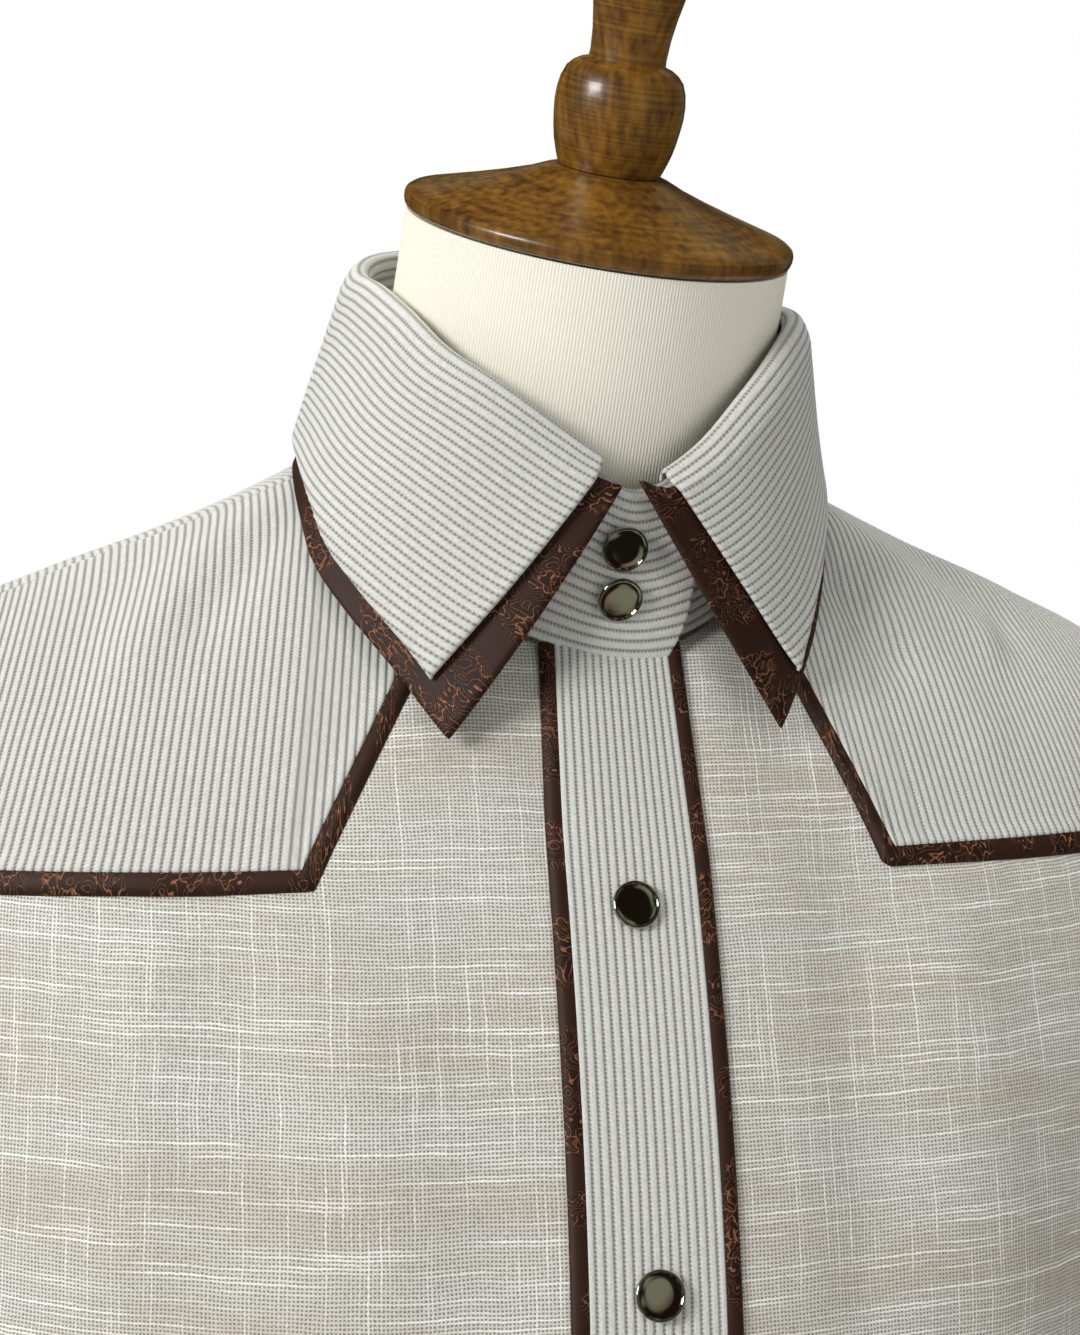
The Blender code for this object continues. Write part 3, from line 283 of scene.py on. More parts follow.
# A piping's cross-section: out from the edge that it lies along, and up
PIPING_PROFILE = (
    Offset(-0.0014, 0.0001),
    Offset(-0.0006, 0.0005),
    Offset(0.0004, 0.0009),
    Offset(0.0014, 0.0011),
    Offset(0.0022, 0.0010),
    Offset(0.0029, 0.0007),
    Offset(0.0033, 0.0003),
    Offset(0.0032, -0.0001),
    Offset(0.0028, -0.0003),
)
PIPING_CREST = 4  # the profile's point along which a piping is measured
YOKE_PIPING_LIFT = 0.0004


def smooth(x, xs, ys):
    """Smooth curves through a table's points; ys has one column, or several."""
    xs, ys = np.asarray(xs, float), np.asarray(ys, float)
    x = np.clip(np.asarray(x, float), xs[0], xs[-1])
    slopes = np.gradient(ys, xs, axis=0)
    i = np.clip(np.searchsorted(xs, x) - 1, 0, len(xs) - 2)
    span = xs[i + 1] - xs[i]
    u = (x - xs[i]) / span
    if ys.ndim == 2:
        span, u = span[..., None], u[..., None]
    start = (1 + 2 * u) * (1 - u) ** 2 * ys[i] + u * (1 - u) ** 2 * span * slopes[i]
    end = u**2 * (3 - 2 * u) * ys[i + 1] + u**2 * (u - 1) * span * slopes[i + 1]
    return start + end


def by_column(table):
    """A table's columns, under their own names."""
    return type(table[0])(*np.array(table, float).T)


BODY = by_column(BODY_RINGS)


def tracks_of(lines):
    """How far along its own line each point of lines[..., point, :] is."""
    steps = np.linalg.norm(np.diff(lines, axis=-2), axis=-1)
    return np.concatenate([np.zeros((*steps.shape[:-1], 1)), np.cumsum(steps, axis=-1)], axis=-1)


def ring_point(values, angle):
    """The point of a ring at an angle in degrees: 0 is the front, +-90 a side, 180 the back."""
    ring = Ring(None, *np.moveaxis(values, -1, 0))
    behind = np.abs(angle) > 90
    turn = np.radians(np.minimum(np.abs(angle), 180 - np.abs(angle)))
    bend = np.where(behind, np.maximum(ring.square, 0), ring.square) * np.sin(2 * turn)
    depth = np.clip(np.cos(turn - bend), 0, 1)
    x = np.sign(angle) * ring.side_x * np.sin(turn + bend)
    y = ring.side_y + (np.where(behind, ring.back_y, ring.front_y) - ring.side_y) * depth
    z = ring.side_z + (np.where(behind, ring.back_z, ring.front_z) - ring.side_z) * depth**ring.bow
    return np.stack([x, y, z + SET_TILT * x], -1)


def body(angle, level):
    angle, level = np.broadcast_arrays(np.asarray(angle, float), np.asarray(level, float))
    return ring_point(smooth(level, BODY.level, np.stack(BODY[1:], -1)), angle)


def unit(vectors):
    return vectors / np.maximum(np.linalg.norm(vectors, axis=-1, keepdims=True), 1e-12)


def body_normal(angle, level):
    """The outward normal, from small steps round and down the surface."""
    round_step, down_step = 0.2, 0.0005
    round_it = body(angle + round_step, level) - body(angle - round_step, level)
    down_it = body(angle, level + down_step) - body(angle, np.maximum(level - down_step, 0))
    return unit(np.cross(down_it, round_it))


def on_body(angle, level, lift=0.0):
    return body(angle, level) + body_normal(angle, level) * np.asarray(lift, float)[..., None]


def side_x(level):
    return smooth(level, BODY.level, BODY.side_x)


def column_of(x):
    """The column that stands x from the centre at the underarm ring."""
    return np.degrees(np.arcsin(x / side_x(UNDERARM)))


def angle_at(x, level):
    """The ring angle, counted from the centre line, at which a ring is x from the centre."""
    square = smooth(level, BODY.level, BODY.square)
    straight = np.arcsin(np.clip(np.abs(x) / side_x(level), 0, 1))
    turn = straight
    for _ in range(12):
        turn = straight - square * np.sin(2 * turn)
    return np.sign(x) * np.degrees(turn)


def yoke_bottom(column):
    """The level of each column at the height of the front yoke's lower edge."""
    column = np.atleast_1d(column)
    key_columns = np.linspace(-90, 90, 91)
    key_x = side_x(UNDERARM) * np.sin(np.radians(key_columns))
    levels = np.linspace(0, UNDERARM, FINE_STEPS)
    found = []
    for each in key_x:
        heights = body(angle_at(each, levels), levels)[:, 2] - SET_TILT * each
        found.append(np.interp(-(YOKE_HEIGHT + YOKE_TILT * each), -heights, levels))
    return np.interp(column, key_columns, found)


def column_x(column, level, lean_from):
    """How far a column is from the centre at a level: it leans to the neck above lean_from."""
    reach = np.sin(np.radians(column))
    x = side_x(UNDERARM) * reach * (1 - NECKWARD * np.maximum(lean_from - level, 0))
    growth = side_x(np.maximum(level, UNDERARM)) / side_x(UNDERARM) - 1
    return x * (1 + reach**2 * growth)


def front_angle(column, level):
    return angle_at(column_x(column, level, yoke_bottom(column[:, 0])[:, None]), level)


def back_angle(column, level):
    turned = angle_at(column_x(column, level, BACK_LEAN_FROM), level)
    return np.where(turned < 0, -180 - turned, 180 - turned)


def shoulder_level(columns, angle_of):
    """The level at which each column reaches the shoulder seam, or the neck seam's edge."""
    levels = np.linspace(NECK_EDGE, BACK_TIP_LEVEL, FINE_STEPS)
    grid = np.broadcast_to(columns[:, None], (len(columns), len(levels)))
    angles = np.abs(angle_of(grid, levels[None, :]))
    turned = np.minimum(angles, 180 - angles)
    wanted = SEAM_GAP_ANGLE - SEAM_ANGLE
    return np.array([np.interp(wanted, -row, levels) for row in turned])


def corner_level(side):
    """The level of the yoke's point."""
    return yoke_bottom(side * column_of(YOKE_POINTS[side].point_x))[0]


def yoke_slant(side):
    """Length along a column that each metre across the slanting edge takes."""
    point = YOKE_POINTS[side]
    return math.hypot(1, corner_level(side) / (point.point_x - point.neck_x))


def yoke_lines(side, column, margin):
    """The levels of the slanting and the level run of the front yoke's lower edge."""
    point = YOKE_POINTS[side]
    x = side_x(UNDERARM) * np.sin(np.radians(np.abs(column)))
    run = (x - point.neck_x) / (point.point_x - point.neck_x)
    slanting = run * corner_level(side) + margin * yoke_slant(side)
    return slanting, yoke_bottom(column) + margin


def yoke_edge(side, column, margin=0.0):
    slanting, flat = yoke_lines(side, column, margin)
    return np.maximum(np.minimum(slanting, flat), NECK_EDGE)


def back_yoke_edge(column, margin=0.0):
    edge = by_column(BACK_YOKE_EDGE)
    return np.interp(np.abs(column), edge.column, edge.level) + margin


def above_armhole(column, edge, tip_level):
    """The lower end of a yoke's columns: its own edge, then the armhole's upper half."""
    deepest = np.interp(ARM_COLUMN, column, edge)
    share = np.clip((column - ARM_COLUMN) / (column[-1] - ARM_COLUMN), 0, 1)
    return np.where(column > ARM_COLUMN, deepest + (tip_level - deepest) * np.sqrt(share), edge)


def below_armhole(column, edge, deepest):
    """The upper end of a linen panel's columns: its edge, then the armhole's lower half."""
    share = np.clip((np.abs(column) - ARM_COLUMN) / (SIDE_COLUMN - ARM_COLUMN), 0, 1)
    lower_half = deepest + (ARMPIT - deepest) * np.sqrt(1 - (1 - share) ** 2)
    return np.where(np.abs(column) > ARM_COLUMN, lower_half, edge)


def seam_column(level, side=None):
    """The column that meets the shoulder seam at a level: a back one, or a front one of a side."""
    wanted = side_x(level) * math.sin(math.radians(SEAM_ANGLE))
    columns = np.linspace(10.0, 89.9, FINE_STEPS)
    lean_from = yoke_bottom(side * columns) if side else BACK_LEAN_FROM
    return float(np.interp(wanted, column_x(columns, level, lean_from), columns))


def hem(column):
    share = np.clip((np.abs(column) - HEM_TURN) / (90 - HEM_TURN), 0, 1)
    return HEM_CENTRE - HEM_RISE * share**2 * (3 - 2 * share)


# ---------------------------------------------------------------- laying cloth on the body


def lip(distance, radius=LIP):
    """How far a turned edge has dropped at a distance in from it."""
    share = np.clip(1 - distance / radius, 0, 1)
    return radius * (1 - np.sqrt(1 - share**2))


def wale_height(wales):
    """The relief of the corduroy at a place counted in wales, with a furrow at whole numbers."""
    across = np.abs(np.mod(wales, 1) - 0.5) * 2
    return WALE_HEIGHT * (1 - across**4)


def hump(distance, width):
    """1 at no distance, fading smoothly to 0 at the width."""
    share = np.clip(distance / width, 0, 1)
    return (1 - share**2) ** 2


def places_along(length, rows, first_scale, last_scale):
    """Distances along a path, closer together by its two ends."""
    most = 0.4 * length / EDGE_STEPS[-1]
    first = EDGE_STEPS * min(first_scale, most)
    last = EDGE_STEPS * min(last_scale, most)
    middle = np.linspace(first[-1], length - last[-1], rows)[1:-1]
    return np.concatenate([first, middle, length - last[::-1]])


Laid = namedtuple("Laid", "angles levels along from_start from_end")


def lay_paths(angles, levels, rows, start_slant=1.0, end_slant=1.0):
    """Places on each path, with how far each is from the edges that the path runs between."""
    tracks = tracks_of(body(angles, levels))
    start_slant = np.broadcast_to(start_slant, len(tracks))
    end_slant = np.broadcast_to(end_slant, len(tracks))
    found = []
    for track, angle, level, first, last in zip(tracks, angles, levels, start_slant, end_slant):
        along = places_along(track[-1], rows, first, last)
        from_end = (track[-1] - along) / last
        angle_there = np.interp(along, track, angle)
        level_there = np.interp(along, track, level)
        found.append((angle_there, level_there, along, along / first, from_end))
    return Laid(*np.array(found).transpose(1, 0, 2))


def down_columns(columns, start, end, rows, angle_of, start_slant=1.0, end_slant=1.0):
    share = np.linspace(0, 1, FINE_STEPS) ** 2
    levels = start[:, None] + (np.maximum(end, start) - start)[:, None] * share
    angles = angle_of(columns[:, None] + 0 * levels, levels)
    return lay_paths(angles, levels, rows, start_slant, end_slant)


def arc_columns(inner, outer, step, level_of, angle_of, side=1):
    """Columns set a step apart along the ring: at one level, or at a level for each column."""
    keys = np.linspace(inner, outer, FINE_STEPS)
    level = level_of(side * keys) if callable(level_of) else level_of
    levels = np.broadcast_to(level, keys.shape)[:, None]
    lengths = tracks_of(body(angle_of(side * keys[:, None], levels), levels)[:, 0])
    count = max(1, round(lengths[-1] / step))
    return np.interp(np.linspace(0, lengths[-1], count + 1), lengths, keys)


def both_ways(half):
    """Values from the centre outwards, with their mirror image before them."""
    return np.concatenate([half[:0:-1], half])


# Soft creases: a ridge, or a trough of negative depth, along a line across the cloth. x is as seen
# from the front or the back, or on a sleeve how far round it from its outer point, by the front.
Crease = namedtuple("Crease", "x z to_x to_z width depth")
FRONT_CREASES = (
    Crease(-0.076, 1.427, -0.103, 1.395, 0.006, -0.0022),
    Crease(-0.085, 1.428, -0.119, 1.387, 0.008, 0.0020),
    Crease(-0.122, 1.409, -0.138, 1.375, 0.009, -0.0016),
    Crease(0.072, 1.409, 0.084, 1.392, 0.006, -0.0020),
    Crease(0.078, 1.426, 0.117, 1.397, 0.008, 0.0020),
    Crease(0.104, 1.425, 0.126, 1.402, 0.007, -0.0018),
    Crease(0.092, 1.400, 0.108, 1.372, 0.009, 0.0012),
    Crease(-0.023, 1.394, -0.020, 1.350, 0.007, -0.0014),
    Crease(0.026, 1.392, 0.030, 1.352, 0.007, 0.0010),
    Crease(-0.045, 1.330, -0.040, 1.220, 0.016, -0.0010),
    Crease(-0.070, 1.300, -0.064, 1.120, 0.022, 0.0012),
    Crease(0.059, 1.338, 0.055, 1.240, 0.011, -0.0018),
    Crease(0.088, 1.319, 0.096, 1.200, 0.015, 0.0016),
    Crease(-0.105, 1.322, -0.090, 1.284, 0.012, -0.0014),
    Crease(-0.117, 1.310, -0.123, 1.250, 0.012, 0.0018),
    Crease(-0.120, 1.290, -0.096, 1.090, 0.024, -0.0012),
    Crease(-0.150, 1.200, -0.130, 0.960, 0.026, 0.0022),
    Crease(0.140, 1.230, 0.128, 1.000, 0.026, -0.0022),
    Crease(0.160, 1.180, 0.150, 0.950, 0.022, 0.0024),
    Crease(-0.060, 1.050, -0.070, 0.800, 0.026, 0.0030),
    Crease(-0.100, 1.000, -0.120, 0.800, 0.024, -0.0030),
    Crease(0.065, 1.060, 0.075, 0.790, 0.024, -0.0026),
    Crease(0.100, 1.020, 0.120, 0.800, 0.028, 0.0034),
    Crease(-0.030, 0.930, -0.036, 0.780, 0.018, -0.0018),
    Crease(0.034, 0.950, 0.040, 0.780, 0.018, 0.0018),
)
BACK_CREASES = (
    Crease(-0.080, 1.260, -0.070, 0.900, 0.026, 0.0032),
    Crease(-0.035, 1.280, -0.040, 0.820, 0.024, -0.0030),
    Crease(0.020, 1.270, 0.012, 0.800, 0.026, 0.0034),
    Crease(0.062, 1.250, 0.058, 0.860, 0.024, -0.0030),
    Crease(0.105, 1.240, 0.095, 0.880, 0.028, 0.0034),
    Crease(-0.125, 1.230, -0.110, 0.860, 0.026, -0.0032),
    Crease(0.145, 1.180, 0.140, 0.900, 0.022, -0.0026),
    Crease(-0.160, 1.170, -0.155, 0.930, 0.022, 0.0026),
    Crease(-0.120, 1.395, -0.140, 1.350, 0.014, -0.0012),
    Crease(0.110, 1.400, 0.135, 1.345, 0.015, -0.0014),
)


def crease_lift(places, creases):
    """How far a set of creases moves each place (x, z) in or out."""
    lift = np.zeros(places.shape[:-1])
    for crease in creases:
        start = np.array([crease.x, crease.z])
        run = np.array([crease.to_x, crease.to_z]) - start
        share = np.clip((places - start) @ run / (run @ run), 0, 1)
        away = np.linalg.norm(places - start - share[..., None] * run, axis=-1)
        lift += crease.depth * np.exp(-((away / crease.width) ** 2))
    return lift


def seen_flat(points):
    """Points as seen from the front or the back: their x and z."""
    return points[..., [0, 2]]


def lay_on(laid, lift, creases, strength=1.0):
    """Points of a laid panel, lifted off the body and creased."""
    flat = body(laid.angles, laid.levels)
    lift = lift + crease_lift(seen_flat(flat), creases) * strength
    return flat + body_normal(laid.angles, laid.levels) * lift[..., None]


def in_millimetres(across, along):
    """A panel's pattern coordinates: across each column and down it, in millimetres."""
    across, along = np.broadcast_arrays(across, along)
    return np.stack([across, along], -1) * 1000


def straight_grain(columns, levels, points, lean_from):
    """Linen's pattern coordinates: its warp runs down the body and its weft level across."""
    keys = np.linspace(0, 90, FINE_STEPS)
    ring = body(keys, UNDERARM)
    arcs = tracks_of(ring[:, :2])
    lean = 1 - NECKWARD * np.maximum(lean_from - levels, 0)
    reach = side_x(UNDERARM) * np.sin(np.radians(np.abs(columns)))[:, None] * lean
    across = np.sign(columns)[:, None] * np.interp(reach, ring[:, 0], arcs)
    tracks = tracks_of(points)
    heights = points[..., 2] - SET_TILT * points[..., 0]
    pairs = zip(heights, tracks)
    level_with = np.array([np.interp(-GRAIN_HEIGHT, -height, track) for height, track in pairs])
    return in_millimetres(across, tracks - level_with[:, None])


# ---------------------------------------------------------------- mesh pieces


# Each cloth's flat cut: the width and length of the rectangle it fits, and its area. A folded
# strip is 6 to 7.5 mm wide; it is given STRIP_WIDTH, the least that a sheet takes, and its own area.
Cut = namedtuple("Cut", "width length area")


def laid_mesh(points, pattern, closed=False):
    """A grid bent onto points[column, row], with its pattern coordinates in a UV map."""
    columns, rows = points.shape[:2]
    bm = bmesh.new()
    bmesh.ops.create_grid(bm, x_segments=columns - 1, y_segments=rows - 1, size=0.5)
    layer = bm.loops.layers.uv.new("cloth")
    places = {}
    for vert in bm.verts:
        column = round((vert.co.x + 0.5) * (columns - 1))
        row = round((vert.co.y + 0.5) * (rows - 1))
        places[vert] = pattern[column, row]
        vert.co = points[0 if closed and column == columns - 1 else column, row]
    for face in bm.faces:
        for loop in face.loops:
            loop[layer].uv = places[loop.vert]
    bmesh.ops.remove_doubles(bm, verts=bm.verts, dist=1e-5)
    bmesh.ops.dissolve_degenerate(bm, edges=bm.edges, dist=1e-6)
    return bm


def face_away(bm, centre):
    """Turns the faces over if the mesh faces its own centre line more than away from it."""
    total = 0.0
    for face in bm.faces:
        middle = face.calc_center_median()
        away = middle - Vector((centre[0], centre[1], middle.z))
        total += face.normal.dot(away) * face.calc_area()
    if total < 0:
        bmesh.ops.reverse_faces(bm, faces=bm.faces)


def add_piece(name, bm, material, replaced):
    mesh = bpy.data.meshes.new(name)
    bm.to_mesh(mesh)
    bm.free()
    mesh.materials.append(material)
    mesh.shade_smooth()
    piece = bpy.data.objects.new(name, mesh)
    bpy.context.scene.collection.objects.link(piece)
    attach(piece, "root")
    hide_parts(replaced)
    return piece


OUTWARDS, INWARDS = 1, -1
Cloth = namedtuple("Cloth", "word wall grows material")


def add_cloth(cloth, name, points, pattern, centre=(0, 0), closed=False):
    """A wall of cloth that grows outwards or inwards from a grid of points."""
    bm = laid_mesh(points, pattern, closed)
    bm.normal_update()
    face_away(bm, centre)
    piece = add_piece(f"{cloth.word}_{name}", bm, cloth.material, name)
    solidify = piece.modifiers.new("wall", "SOLIDIFY")
    solidify.thickness = cloth.wall
    solidify.offset = cloth.grows
    solidify.use_quality_normals = True


# ---------------------------------------------------------------- materials


def linear(code):
    """An sRGB hex colour as linear red, green, blue and alpha."""
    parts = [int(code[i : i + 2], 16) / 255 for i in (1, 3, 5)]
    return (*[p / 12.92 if p <= 0.04045 else ((p + 0.055) / 1.055) ** 2.4 for p in parts], 1)


def set_inputs(tree, node, inputs):
    """An input is a value, a socket, or a node whose first output is meant."""
    for name, value in inputs.items():
        if isinstance(value, bpy.types.Node):
            value = value.outputs[0]
        if isinstance(value, bpy.types.NodeSocket):
            tree.links.new(value, node.inputs[name])
        else:
            node.inputs[name].default_value = value


def add(tree, kind, inputs=None, **settings):
    """Adds a node with its settings and its inputs."""
    node = tree.nodes.new("ShaderNode" + kind)
    for name, value in settings.items():
        setattr(node, name, value)
    set_inputs(tree, node, inputs or {})
    return node


def start_material(name):
    material = bpy.data.materials.new(name)
    material.use_nodes = True
    tree = material.node_tree
    return material, tree, tree.nodes["Principled BSDF"]


def make_corduroy():
    """Cotton corduroy: cut pile in rounded wales, soft and matt; the furrow between the wales and the
    notches between the tufts are painted darker, as painted shade.
    """
    pitch_mm = WALE * 1000
    tuft_mm = 0.52
    material, tree, shader = start_material("corduroy")
    place = add(tree, "UVMap", uv_map="cloth")
    split = add(tree, "SeparateXYZ", {0: place})
    wales = add(tree, "Math", {0: split.outputs[0], 1: pitch_mm}, operation="DIVIDE")
    share = add(tree, "Math", {0: wales}, operation="FRACT")
    centred = add(tree, "Math", {0: share, 1: 0.5}, operation="SUBTRACT")
    half = add(tree, "Math", {0: centred}, operation="ABSOLUTE")
    nearest = add(tree, "Math", {0: wales}, operation="ROUND")
    stagger = add(tree, "TexWhiteNoise", {"W": nearest}, noise_dimensions="1D")
    tufts = add(tree, "Math", {0: split.outputs[1], 1: tuft_mm}, operation="DIVIDE")
    slanted = add(tree, "Math", {0: half, 1: 1.6, 2: tufts}, operation="MULTIPLY_ADD")
    shifted = add(tree, "Math", {0: slanted, 1: stagger.outputs[0]}, operation="ADD")
    tuft = add(tree, "Math", {0: shifted, 1: 1.0}, operation="PINGPONG")
    fuzz = add(tree, "TexNoise", {"Vector": place, "Scale": 2.4, "Detail": 3.0, "Roughness": 0.7})
    clumps = add(tree, "TexNoise", {"Vector": place, "Scale": 0.55, "Detail": 2.0})
    ragged = add(tree, "Math", {0: tuft, 1: fuzz}, operation="ADD")
    reach = add(tree, "Math", {0: ragged, 1: 0.26, 2: half}, operation="MULTIPLY_ADD")
    furrow = add(tree, "MapRange", {0: reach, 1: 0.550, 2: 0.810}, interpolation_type="SMOOTHSTEP")
    flank = add(tree, "MapRange", {0: half, 1: 0.15, 2: 0.46}, interpolation_type="SMOOTHSTEP")
    notch = add(tree, "Math", {0: 1.0, 1: tuft}, operation="SUBTRACT")
    toothed = add(tree, "Math", {0: flank, 1: notch}, operation="MULTIPLY")
    pile = add(tree, "MapRange", {0: fuzz, 1: 0.30, 2: 0.70})
    light = add(tree, "Mix", {0: pile, 6: linear("#c2c2bb"), 7: linear("#ebebe5")}, data_type="RGBA")
    patchy = add(tree, "MapRange", {0: clumps, 1: 0.3, 2: 0.7, 3: 0.93, 4: 1.03})
    # Painted shade: the notches between the tufts on each wale's flanks are painted darker; the clumps add
    # a random tone.
    notch_shade_and_clumps = add(tree, "Math", {0: toothed, 1: -0.28, 2: patchy}, operation="MULTIPLY_ADD")
    toned = add(
        tree,
        "Mix",
        {0: 1.0, 6: light.outputs[2], 7: notch_shade_and_clumps},
        data_type="RGBA",
        blend_type="MULTIPLY",
    )
    # Painted shade: the furrow between the wales is painted dark grey, over the groove that the mesh
    # already has.
    colour = add(tree, "Mix", {0: furrow, 6: toned.outputs[2], 7: linear("#86857e")}, data_type="RGBA")
    deep = add(tree, "Math", {0: furrow, 1: -0.25}, operation="MULTIPLY")
    tufted = add(tree, "Math", {0: toothed, 1: -0.26, 2: deep}, operation="MULTIPLY_ADD")
    height = add(tree, "Math", {0: fuzz, 1: 0.34, 2: tufted}, operation="MULTIPLY_ADD")
    bump = add(tree, "Bump", {"Height": height, "Strength": 0.9, "Distance": 0.001})
    finish = {"Roughness": 0.95, "Specular IOR Level": 0.1, "Sheen Weight": 0.10, "Sheen Roughness": 0.5}
    set_inputs(tree, shader, {"Base Color": colour.outputs[2], "Normal": bump, **finish})
    return material


def make_linen():
    """Slub linen: an open plain weave of uneven yarn, pale yarn over hollows painted warm grey as painted
    shade.
    """
    yarn_mm = 0.98
    material, tree, shader = start_material("slub_linen")
    place = add(tree, "UVMap", uv_map="cloth")
    drift = add(tree, "TexNoise", {"Vector": place, "Scale": 0.06, "Detail": 1.0})
    moved = add(
        tree,
        "VectorMath",
        {0: drift.outputs[1], 1: (1.4, 1.4, 0.0), 2: place},
        operation="MULTIPLY_ADD",
    )
    jitter = add(tree, "TexNoise", {"Vector": place, "Scale": 1.4, "Detail": 1.0})
    unsteady = add(
        tree,
        "VectorMath",
        {0: jitter.outputs[1], 1: (0.46, 0.46, 0.0), 2: moved},
        operation="MULTIPLY_ADD",
    )
    yarns = add(tree, "VectorMath", {0: unsteady, 3: 1 / yarn_mm}, operation="SCALE")
    split = add(tree, "SeparateXYZ", {0: yarns})
    slubs = []
    waves = []
    for axis, thinnest, thickest in ((0, 0.52, 0.76), (1, 0.48, 0.71)):
        along = 1 - axis
        count = add(tree, "Math", {0: split.outputs[axis]}, operation="FLOOR")
        own = add(tree, "Math", {0: count, 1: 1.7}, operation="MULTIPLY")
        slow = add(tree, "Math", {0: split.outputs[along], 1: 0.022}, operation="MULTIPLY")
        strand = add(tree, "CombineXYZ", {0: own, 1: slow, 2: 7.3 + 5.0 * axis})
        thick = add(tree, "TexNoise", {"Vector": strand, "Scale": 1.0, "Detail": 2.0})
        slubs.append(
            add(tree, "MapRange", {0: thick, 1: thinnest, 2: thickest}, interpolation_type="SMOOTHSTEP")
        )
        turn = add(tree, "Math", {0: split.outputs[axis], 1: math.pi}, operation="MULTIPLY")
        waves.append(add(tree, "Math", {0: turn}, operation="SINE"))
    crossing = add(tree, "Math", {0: waves[0], 1: waves[1]}, operation="MULTIPLY")
    heights = []
    whites = []
    for axis, sense, under in ((0, 1.0, 0.76), (1, -1.0, 0.84)):
        over = add(tree, "MapRange", {0: crossing, 1: -0.35 * sense, 2: 0.35 * sense, 3: under, 4: 1.0})
        round_yarn = add(tree, "Math", {0: waves[axis]}, operation="ABSOLUTE")
        fat = add(tree, "Math", {0: slubs[axis], 1: 0.13, 2: round_yarn}, operation="MULTIPLY_ADD")
        high = add(tree, "Math", {0: fat, 1: over}, operation="MULTIPLY")
        heights.append(high)
        core = add(tree, "MapRange", {0: high, 1: 0.58, 2: 0.92}, interpolation_type="SMOOTHSTEP")
        whites.append(add(tree, "Math", {0: core, 1: slubs[axis]}, operation="MULTIPLY"))
    weave = add(tree, "Math", {0: heights[0], 1: heights[1]}, operation="MAXIMUM")
    white = add(tree, "Math", {0: whites[0], 1: whites[1]}, operation="MAXIMUM")
    bands = add(tree, "Mapping", {"Vector": place, "Scale": (0.012, 0.045, 1.0)})
    tint = add(tree, "TexNoise", {"Vector": bands, "Scale": 1.0, "Detail": 4.0})
    tinted = add(tree, "MapRange", {0: tint, 1: 0.35, 2: 0.65})
    warm = add(tree, "Mix", {0: tinted, 6: linear("#cbc5b7"), 7: linear("#d8d7d1")}, data_type="RGBA")
    yarn = add(tree, "Mix", {0: white, 6: warm.outputs[2], 7: linear("#f3f2ec")}, data_type="RGBA")
    solid = add(tree, "MapRange", {0: weave, 1: 0.50, 2: 0.88}, interpolation_type="SMOOTHSTEP")
    # Painted shade: the hollows between the yarns of the open weave are painted warm grey.
    cloth = add(tree, "Mix", {0: solid, 6: linear("#8d877b"), 7: yarn.outputs[2]}, data_type="RGBA")
    neps = add(tree, "TexNoise", {"Vector": place, "Scale": 0.30, "Detail": 2.0})
    nep = add(tree, "MapRange", {0: neps, 1: 0.76, 2: 0.82}, interpolation_type="SMOOTHSTEP")
    faint = add(tree, "Math", {0: nep, 1: 0.6}, operation="MULTIPLY")
    colour = add(tree, "Mix", {0: faint, 6: cloth.outputs[2], 7: linear("#7d6545")}, data_type="RGBA")
    bump = add(tree, "Bump", {"Height": weave, "Strength": 0.7, "Distance": 0.00022})
    finish = {"Roughness": 0.9, "Specular IOR Level": 0.15}
    set_inputs(tree, shader, {"Base Color": colour.outputs[2], "Normal": bump, **finish})
    return material


